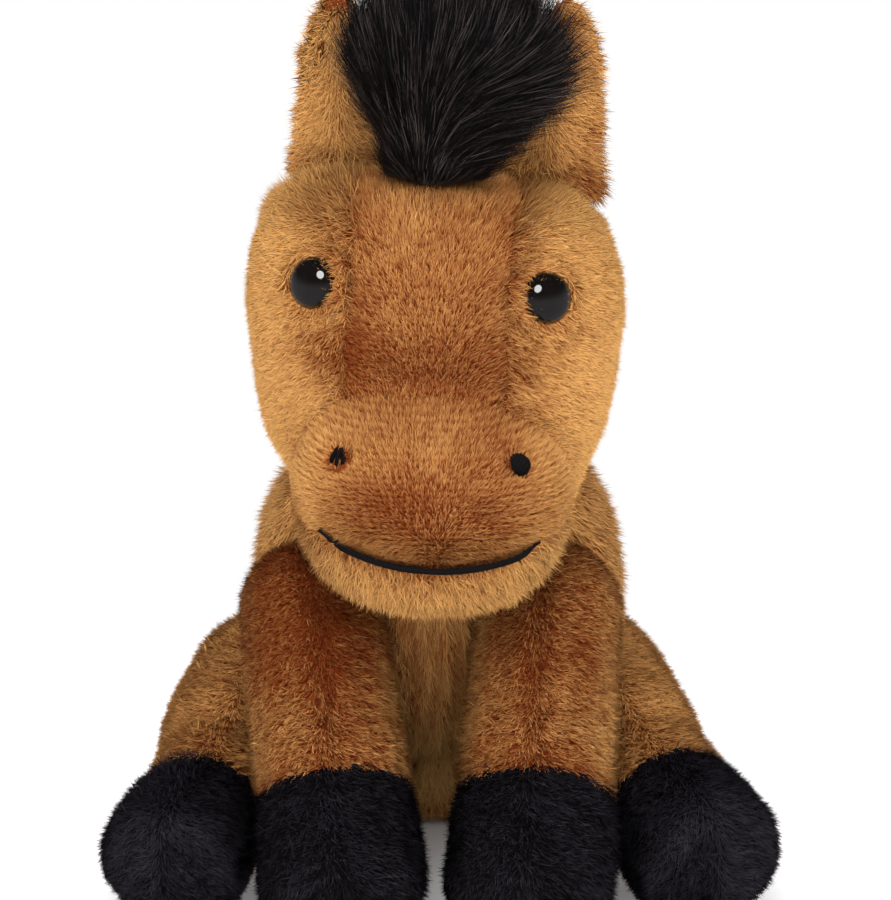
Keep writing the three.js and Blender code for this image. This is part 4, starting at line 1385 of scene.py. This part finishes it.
class HORSE_OT_mane(bpy.types.Operator):
    """Grows the long black pile of the forelock, the crest and the neck"""

    bl_idname = "horse.mane"
    bl_label = "Forelock and mane"

    def execute(self, context):
        for step, (node, (body, lean, density)) in enumerate(HAIR.items()):
            skin = outer_skin([node], MANE_GRID, smoothing=4)
            panels_of(skin, [node])
            if node == "forelock":
                comb_forelock(skin, *(np.array(corner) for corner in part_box(node)))
            else:
                comb_hair(skin, MANE_PARTING, MANE_COMB)
                hide_sockets(skin, others_than(body), MANE_ROOM)
            shade_hair(skin, MANE_TONE, offset=5.0 + step)
            made = grow(panel_mesh(skin, 0, node), node + "_pile",
                        hair(length_mm=12.0, lean=lean, seed=MANE_SEED + step, density=density,
                             clump_lean=0.14, scatter=0.1),
                        "mane_pile")
            settle(made, body, "black_pile", node)
        return {"FINISHED"}


class HORSE_OT_tail(bpy.types.Operator):
    """Grows the black tail tuft"""

    bl_idname = "horse.tail"
    bl_label = "Tail"

    def execute(self, context):
        skin = outer_skin(["tail"], MANE_GRID, smoothing=4)
        panels_of(skin, ["tail"])
        comb_hair(skin, TAIL_PARTING, TAIL_COMB)
        hide_sockets(skin, others_than("tail"), TAIL_ROOM)
        shade_hair(skin, TAIL_TONE, offset=8.0)
        made = grow(panel_mesh(skin, 0, "tail"), "tail_pile",
                    hair(length_mm=14.0, lean=66, seed=91, density=0.35, clump_lean=0.12), "mane_pile")
        settle(made, "tail", "black_pile", "tail")
        return {"FINISHED"}


# Eyes, heights below the top of the dome in metres

DOME_DROP = 0.0044
DOME_STEPS = 16
ROUND_STEPS = 64
FLANGE_BACK = -0.0050
STEM_RADIUS = 0.0022
GROOVE_RADIUS = 0.0017
RIBS = 3
RIB_PITCH = 0.0034
RIB_FOOT = 0.0018
RIB_EDGE = 0.0016
STEM_POINT = 0.0012
STEM_END = -0.0164
EYE_SINK = 0.0005
EYE_WELD = 0.000005
END_SLICE = 0.0003
AXIS_PASSES = 8


def eye_place(side):
    """The top of an eye's dome and the way it faces, along the middle line of its solid."""
    points = arrays(frame["nodes"][f"eye_{side}"].data)[0]
    axis = unit(points.mean(0) - head_centre())
    for _ in range(AXIS_PASSES):
        height = points @ axis
        foot = points[height < height.min() + END_SLICE].mean(0)
        top = points[height > height.max() - END_SLICE].mean(0)
        axis = unit(top - foot)
    return foot + axis * ((points - foot) @ axis).max(), axis


def head_centre():
    return sum(np.array(corner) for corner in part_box("head_stuffing")) / 2


def eye_profile():
    """Radius and height along the eye: the dome, the flange and the ribbed stem."""
    radius = sizes().eye_radius
    profile = [(radius * math.sin(a), -DOME_DROP * (1 - math.cos(a)))
               for a in np.linspace(0, math.pi / 2, DOME_STEPS)]
    profile += [(radius, FLANGE_BACK), (STEM_RADIUS, FLANGE_BACK)]
    for rib in range(RIBS):
        foot = FLANGE_BACK - RIB_PITCH * (rib + 1)
        profile += [(GROOVE_RADIUS, foot + RIB_FOOT), (STEM_RADIUS, foot + RIB_EDGE)]
        profile += [(GROOVE_RADIUS, foot)]
    return profile + [(STEM_POINT, STEM_END), (0, STEM_END)]


def turned(profile):
    """A working mesh of a profile spun round Z."""
    work = bmesh.new()
    verts = [work.verts.new((out, 0, up)) for out, up in profile]
    for one, other in zip(verts, verts[1:]):
        work.edges.new((one, other))
    bmesh.ops.spin(work, geom=[*work.verts, *work.edges], cent=(0, 0, 0), axis=(0, 0, 1),
                   dvec=(0, 0, 0), angle=FULL_TURN, steps=ROUND_STEPS)
    bmesh.ops.remove_doubles(work, verts=work.verts, dist=EYE_WELD)
    bmesh.ops.recalc_face_normals(work, faces=work.faces)
    for face in work.faces:
        face.smooth = True
    return work


class HORSE_OT_eyes(bpy.types.Operator):
    """Turns the domed safety eyes on their ribbed stems"""

    bl_idname = "horse.eyes"
    bl_label = "Safety eyes"

    def execute(self, context):
        for side in SIDES:
            top, axis = eye_place(side)
            name = f"eye_dome_{side}"
            work = turned(eye_profile())
            place = Vector(axis).to_track_quat("Z", "Y").to_matrix().to_4x4()
            place.translation = Vector(top - axis * EYE_SINK)
            work.transform(place)
            mesh = bpy.data.meshes.new(name)
            work.to_mesh(mesh)
            work.free()
            mesh.materials.append(eye_material())
            settle(placed(name, mesh), "head", "eye_plastic", f"eye_{side}")
        return {"FINISHED"}


# Embroidery, in metres and shares of a thread's radius

THREAD_SIDES = 6
THREAD_RINGS = 6
THREAD_ARCH = 2.2
THREAD_END = 0.55
STITCH_SEED = 5
STITCH_SOCKETS = (("Thread", "Object", None), ("Material", "Material", None), ("Seed", "Int", None))
STITCH_PITCH = 1.5
STITCH_RANGE = (0.9, 1.1)
MOUTH_PITCH = 0.92
MOUTH_COLUMNS = 15
MOUTH_END = 0.001
MOUTH_SLICE = 0.0022
MOUTH_BENDS = 6
MOUTH_ASIDE = 0.0012
SMILE_RISE = 0.0016
SMILE_LENGTH = 0.003
MOUTH_WIDTH = 0.0026
TAPER_START = 0.0008
TAPER_LENGTH = 0.004
THINNEST_END = 0.35
NOSTRIL_PITCH = 0.8
NOSTRIL_TILT = 0.35
NOSTRIL_END = 0.1
SLANT_ACROSS = 0.8
SLANT_AHEAD = 0.6
NARROW_NOSTRIL = 0.72
LOW_NOSTRIL = 0.0018
IN_FRONT = -0.3


def nostril_drop(side):
    """How far below its CAD place a nostril is embroidered: the two are sewn a little unevenly."""
    return LOW_NOSTRIL if side == "right" else 0.0


def thread_object(name, radius):
    """One satin stitch of unit length along Z, arched towards X so that its ends dive in."""
    sides, rings = THREAD_SIDES, THREAD_RINGS
    points = []
    for ring in range(rings + 1):
        share = ring / rings
        lift = radius * (THREAD_ARCH * math.sin(math.pi * share) - 1)
        thin = radius * (THREAD_END + (1 - THREAD_END) * math.sin(math.pi * share))
        for side in range(sides):
            turn = FULL_TURN * side / sides
            points.append((lift + thin * math.cos(turn), thin * math.sin(turn), share - 0.5))
    corners = [(r * sides, i, (i + 1) % sides) for r in range(rings) for i in range(sides)]
    faces = [(low + i, low + j, low + sides + j, low + sides + i) for low, i, j in corners]
    faces.append(tuple(reversed(range(sides))))
    faces.append(tuple(range(rings * sides, (rings + 1) * sides)))
    mesh = bpy.data.meshes.new(name)
    mesh.from_pydata(points, [], faces)
    return placed(name, mesh)


def stitch_tree():
    """One thread on each point, laid along the point's own line with its arch outwards."""
    name = "satin_stitch"
    if name in bpy.data.node_groups:
        return bpy.data.node_groups[name]
    given = new_tree(name, STITCH_SOCKETS)
    line, out = (named(given, label, "FLOAT_VECTOR") for label in ("line", "out"))
    span = named(given, "span") * chance(given, 0, *STITCH_RANGE)
    size = given.node("ShaderNodeCombineXYZ", {"X": 1.0, "Y": 1.0, "Z": span})
    threads = copies(given, "Thread", given, line, out, size)
    close_tree(given, given.node("GeometryNodeRealizeInstances", {"Geometry": threads}))
    return given.tree


def embroider(name, places, lines, outs, spans, *nodes):
    """Threads at the given places, made one plain piece that stands for the named solids."""
    mesh = bpy.data.meshes.new(name + "_work")
    mesh.from_pydata(np.asarray(places).tolist(), [], [])
    set_vectors(mesh, line=lines, out=outs)
    set_values(mesh, span=spans)
    thread = thread_object("thread_work", sizes().thread_radius)
    wanted = {"Thread": thread, "Material": thread_material(), "Seed": STITCH_SEED}
    piece = run_tree(stitch_tree(), mesh, name, wanted, ("line", "out", "span"))
    for polygon in piece.data.polygons:
        polygon.use_smooth = True
    bpy.data.objects.remove(thread)
    settle(piece, "head", "black_thread", *nodes)


def on_face(face, points):
    """The places where points seen from in front lie on the face, and the ways out from the head."""
    spots, outs = [], []
    head = head_centre()
    for point in points:
        hit = face.ray_cast(Vector((point[0], IN_FRONT, point[2])), Vector((0, 1, 0)))
        place = hit[0][:] if hit[0] else point
        spots.append(place)
        outs.append(unit(np.array(place) - head))
    return np.array(spots), np.array(outs)


def sew_mouth(face, pitch):
    """The smile, a row of slanting stitches that thins out towards its ends."""
    points = arrays(frame["nodes"]["mouth"].data)[0]
    low, high = points[:, 0].min(), points[:, 0].max()
    columns = np.linspace(low + MOUTH_END, high - MOUTH_END, MOUTH_COLUMNS)
    heights = [points[np.abs(points[:, 0] - x) < MOUTH_SLICE, 2].mean() for x in columns]
    fit = np.polynomial.Polynomial.fit(columns, heights, MOUTH_BENDS)
    run = np.arange(low, high, pitch * MOUTH_PITCH)
    from_end = np.minimum(run - low, high - run)
    upturn = SMILE_RISE * hill(from_end, SMILE_LENGTH)
    line, outs = on_face(face, [(x + MOUTH_ASIDE, 0, fit(x) + rise) for x, rise in zip(run, upturn)])
    ahead = unit(np.gradient(line, axis=0))
    across = unit(np.cross(outs, ahead))
    slant = unit(SLANT_ACROSS * across + SLANT_AHEAD * ahead)
    taper = np.clip((from_end + TAPER_START) / TAPER_LENGTH, THINNEST_END, 1)
    embroider("mouth_stitches", line, slant, outs, MOUTH_WIDTH * taper, "mouth")


def sew_nostril(face, pitch, side):
    """One nostril, an upright oval of stitches that tilts a little outwards."""
    middle = centre_of(arrays(frame["nodes"][f"nostril_{side}"].data)[0])
    half = sizes().nostril_width / 2 * (NARROW_NOSTRIL if side == "right" else 1.0)
    run = np.arange(-half + pitch / 2, half, pitch * NOSTRIL_PITCH)
    chord = sizes().nostril_height * np.sqrt(np.maximum(1 - (run / half) ** 2, NOSTRIL_END))
    line, outs = on_face(face, [(middle[0] + x, 0, middle[2] - nostril_drop(side)) for x in run])
    way = (NOSTRIL_TILT if middle[0] > 0 else -NOSTRIL_TILT, 0.0, -1.0)
    down = tangent(np.tile(way, (len(run), 1)), outs)
    embroider(f"nostril_stitches_{side}", line, down, outs, chord, f"nostril_{side}")


class HORSE_OT_face_stitches(bpy.types.Operator):
    """Embroiders the smile and the two nostrils in satin stitch"""

    bl_idname = "horse.face_stitches"
    bl_label = "Smile and nostrils"

    def execute(self, context):
        pitch = STITCH_PITCH * sizes().thread_radius
        face = tree_of(["muzzle_panel", "chin_panel", "mouth", "nostril_left", "nostril_right"])
        sew_mouth(face, pitch)
        for side in SIDES:
            sew_nostril(face, pitch, side)
        return {"FINISHED"}


# Filling


class HORSE_OT_filling(bpy.types.Operator):
    """Gives the fibre filling, the pellet pouch and the locking washers their materials"""

    bl_idname = "horse.filling"
    bl_label = "Filling and washers"

    def execute(self, context):
        for name, node in frame["nodes"].items():
            if name.endswith("_stuffing"):
                kind, tint = "fibre_filling", colours().filling
            elif name == "pellet_pouch":
                kind, tint = "pouch_cloth", colours().pouch
            elif name.startswith("eye_washer"):
                kind, tint = "moulded_nylon", colours().nylon
            else:
                continue
            node.data.materials.clear()
            node.data.materials.append(filling_material(kind, tint))
        return {"FINISHED"}


# Stage, in metres and watts

FLOOR_HALF = 6
OPEN_FLOOR = (0.05, 0.2)
GLOSSY_FLOOR_LOSS = 0.68
MIRRORED_HEIGHT = (-0.05, 0.45)
MIRRORED_LIGHT = (0.32, 0.03)
LIGHT_AIM = (0, -0.05, 0.1)
CAMERA_AIM = (0.0019, -0.060, 0.106)
CAMERA_RISE = math.radians(15)
CAMERA_DISTANCE = 0.9
CAMERA_SETTINGS = {"lens": 158.4, "sensor_width": 36, "clip_start": 0.05, "clip_end": 20}

# Of each light: its place, width and power

LIGHTS = {
    "key_light": ((-0.1, -0.95, 1.1), 0.65, 10.8),
    "front_light": ((0.0, -1.3, 0.2), 0.8, 4.0),
    "left_light": ((-1.1, -0.5, 0.4), 0.7, 5.0),
    "right_light": ((1.1, -0.5, 0.4), 0.7, 5.5),
    "top_light": ((0.0, 0.05, 1.3), 0.9, 2.0),
}


def floor_material():
    """Pale paint that takes the shadow near the horse, and glows white farther out."""
    def build(wire):
        far = wire.node("ShaderNodeTexCoord", output="Object").vector("LENGTH", output="Value")
        paint = wire.node("ShaderNodeBsdfPrincipled", {
            "Base Color": (*colours().floor, 1), "Roughness": 0.7})
        rays = wire.node("ShaderNodeLightPath", output="Is Camera Ray")
        glossy = rays.out("Is Glossy Ray")
        white = wire.node("ShaderNodeEmission", {
            "Color": (*WHITE, 1), "Strength": 1 - GLOSSY_FLOOR_LOSS * glossy})
        seen = (rays + glossy + rays.out("Is Transmission Ray")).clamped()
        cover = (seen * far.eased(*OPEN_FLOOR) + glossy).clamped()
        return wire.node("ShaderNodeMixShader", {0: cover, 1: paint, 2: white})
    return material("pale_floor", build)


def lay_floor():
    half = FLOOR_HALF
    mesh = bpy.data.meshes.new("floor")
    corners = [(-half, -half, 0), (half, -half, 0), (half, half, 0), (-half, half, 0)]
    mesh.from_pydata(corners, [], [(0, 1, 2, 3)])
    mesh.materials.append(floor_material())
    placed("floor", mesh)


def hang_sky(scene):
    """White air that the eyes mirror as a pale band low down and dark above."""
    scene.world = bpy.data.worlds.new("studio")
    scene.world.use_nodes = True
    scene.world.node_tree.nodes.clear()
    air = Wire(scene.world.node_tree)
    glossy = air.node("ShaderNodeLightPath", output="Is Glossy Ray")
    height = air.node("ShaderNodeTexCoord", output="Generated").axis("Z")
    mirrored = height.eased(*MIRRORED_HEIGHT, *MIRRORED_LIGHT)
    sky = air.node("ShaderNodeBackground", {
        "Color": (*WHITE, 1), "Strength": 1.0 - glossy * (1 - mirrored)})
    air.node("ShaderNodeOutputWorld", {"Surface": sky})


def aimed(made, target):
    """Turns a light or the camera towards a point."""
    made.rotation_euler = (Vector(target) - made.location).to_track_quat("-Z", "Y").to_euler()


def hang_lights():
    for name, (place, size, power) in LIGHTS.items():
        lamp = bpy.data.lights.new(name, "AREA")
        lamp.shape = "DISK"
        lamp.size = size
        lamp.energy = power
        made = placed(name, lamp)
        made.location = place
        made.visible_glossy = name == "key_light"
        aimed(made, LIGHT_AIM)


def set_camera(scene):
    camera = bpy.data.cameras.new("camera")
    for name, value in CAMERA_SETTINGS.items():
        setattr(camera, name, value)
    eye = placed("camera", camera)
    away = Vector((0, -math.cos(CAMERA_RISE), math.sin(CAMERA_RISE)))
    eye.location = Vector(CAMERA_AIM) + away * CAMERA_DISTANCE
    aimed(eye, CAMERA_AIM)
    scene.camera = eye


class HORSE_OT_stage(bpy.types.Operator):
    """Lays the pale floor, hangs the soft lights and sets the camera at the photograph's angle"""

    bl_idname = "horse.stage"
    bl_label = "Stage"

    def execute(self, context):
        lay_floor()
        hang_sky(context.scene)
        hang_lights()
        set_camera(context.scene)
        context.scene.view_settings.view_transform = "Standard"
        return {"FINISHED"}


# Add-on

PIECES = (HORSE_OT_torso, HORSE_OT_head, HORSE_OT_ears, HORSE_OT_legs, HORSE_OT_mane, HORSE_OT_tail,
          HORSE_OT_eyes, HORSE_OT_face_stitches, HORSE_OT_filling, HORSE_OT_stage)


class HORSE_PT_panel(bpy.types.Panel):
    """Lists the pieces of the horse"""

    bl_idname = "HORSE_PT_panel"
    bl_label = "Plush Horse"
    bl_space_type = "VIEW_3D"
    bl_region_type = "UI"
    bl_category = "Plush Horse"

    def draw(self, context):
        for piece in PIECES:
            self.layout.operator(piece.bl_idname)
        for group in (context.scene.horse_sizes, context.scene.horse_colours):
            for name in group.__annotations__:
                self.layout.prop(group, name)


CLASSES = (HorseSizes, HorseColours, *PIECES, HORSE_PT_panel)


def register():
    for each in CLASSES:
        bpy.utils.register_class(each)
    bpy.types.Scene.horse_sizes = bpy.props.PointerProperty(type=HorseSizes)
    bpy.types.Scene.horse_colours = bpy.props.PointerProperty(type=HorseColours)


def unregister():
    del bpy.types.Scene.horse_colours
    del bpy.types.Scene.horse_sizes
    for each in reversed(CLASSES):
        bpy.utils.unregister_class(each)


def main():
    register()
    for piece in PIECES:
        group, name = piece.bl_idname.split(".")
        getattr(getattr(bpy.ops, group), name)()
    for kind in LOCKS:
        bpy.data.objects.remove(bpy.data.objects[kind])


if __name__ == "__main__":
    main()
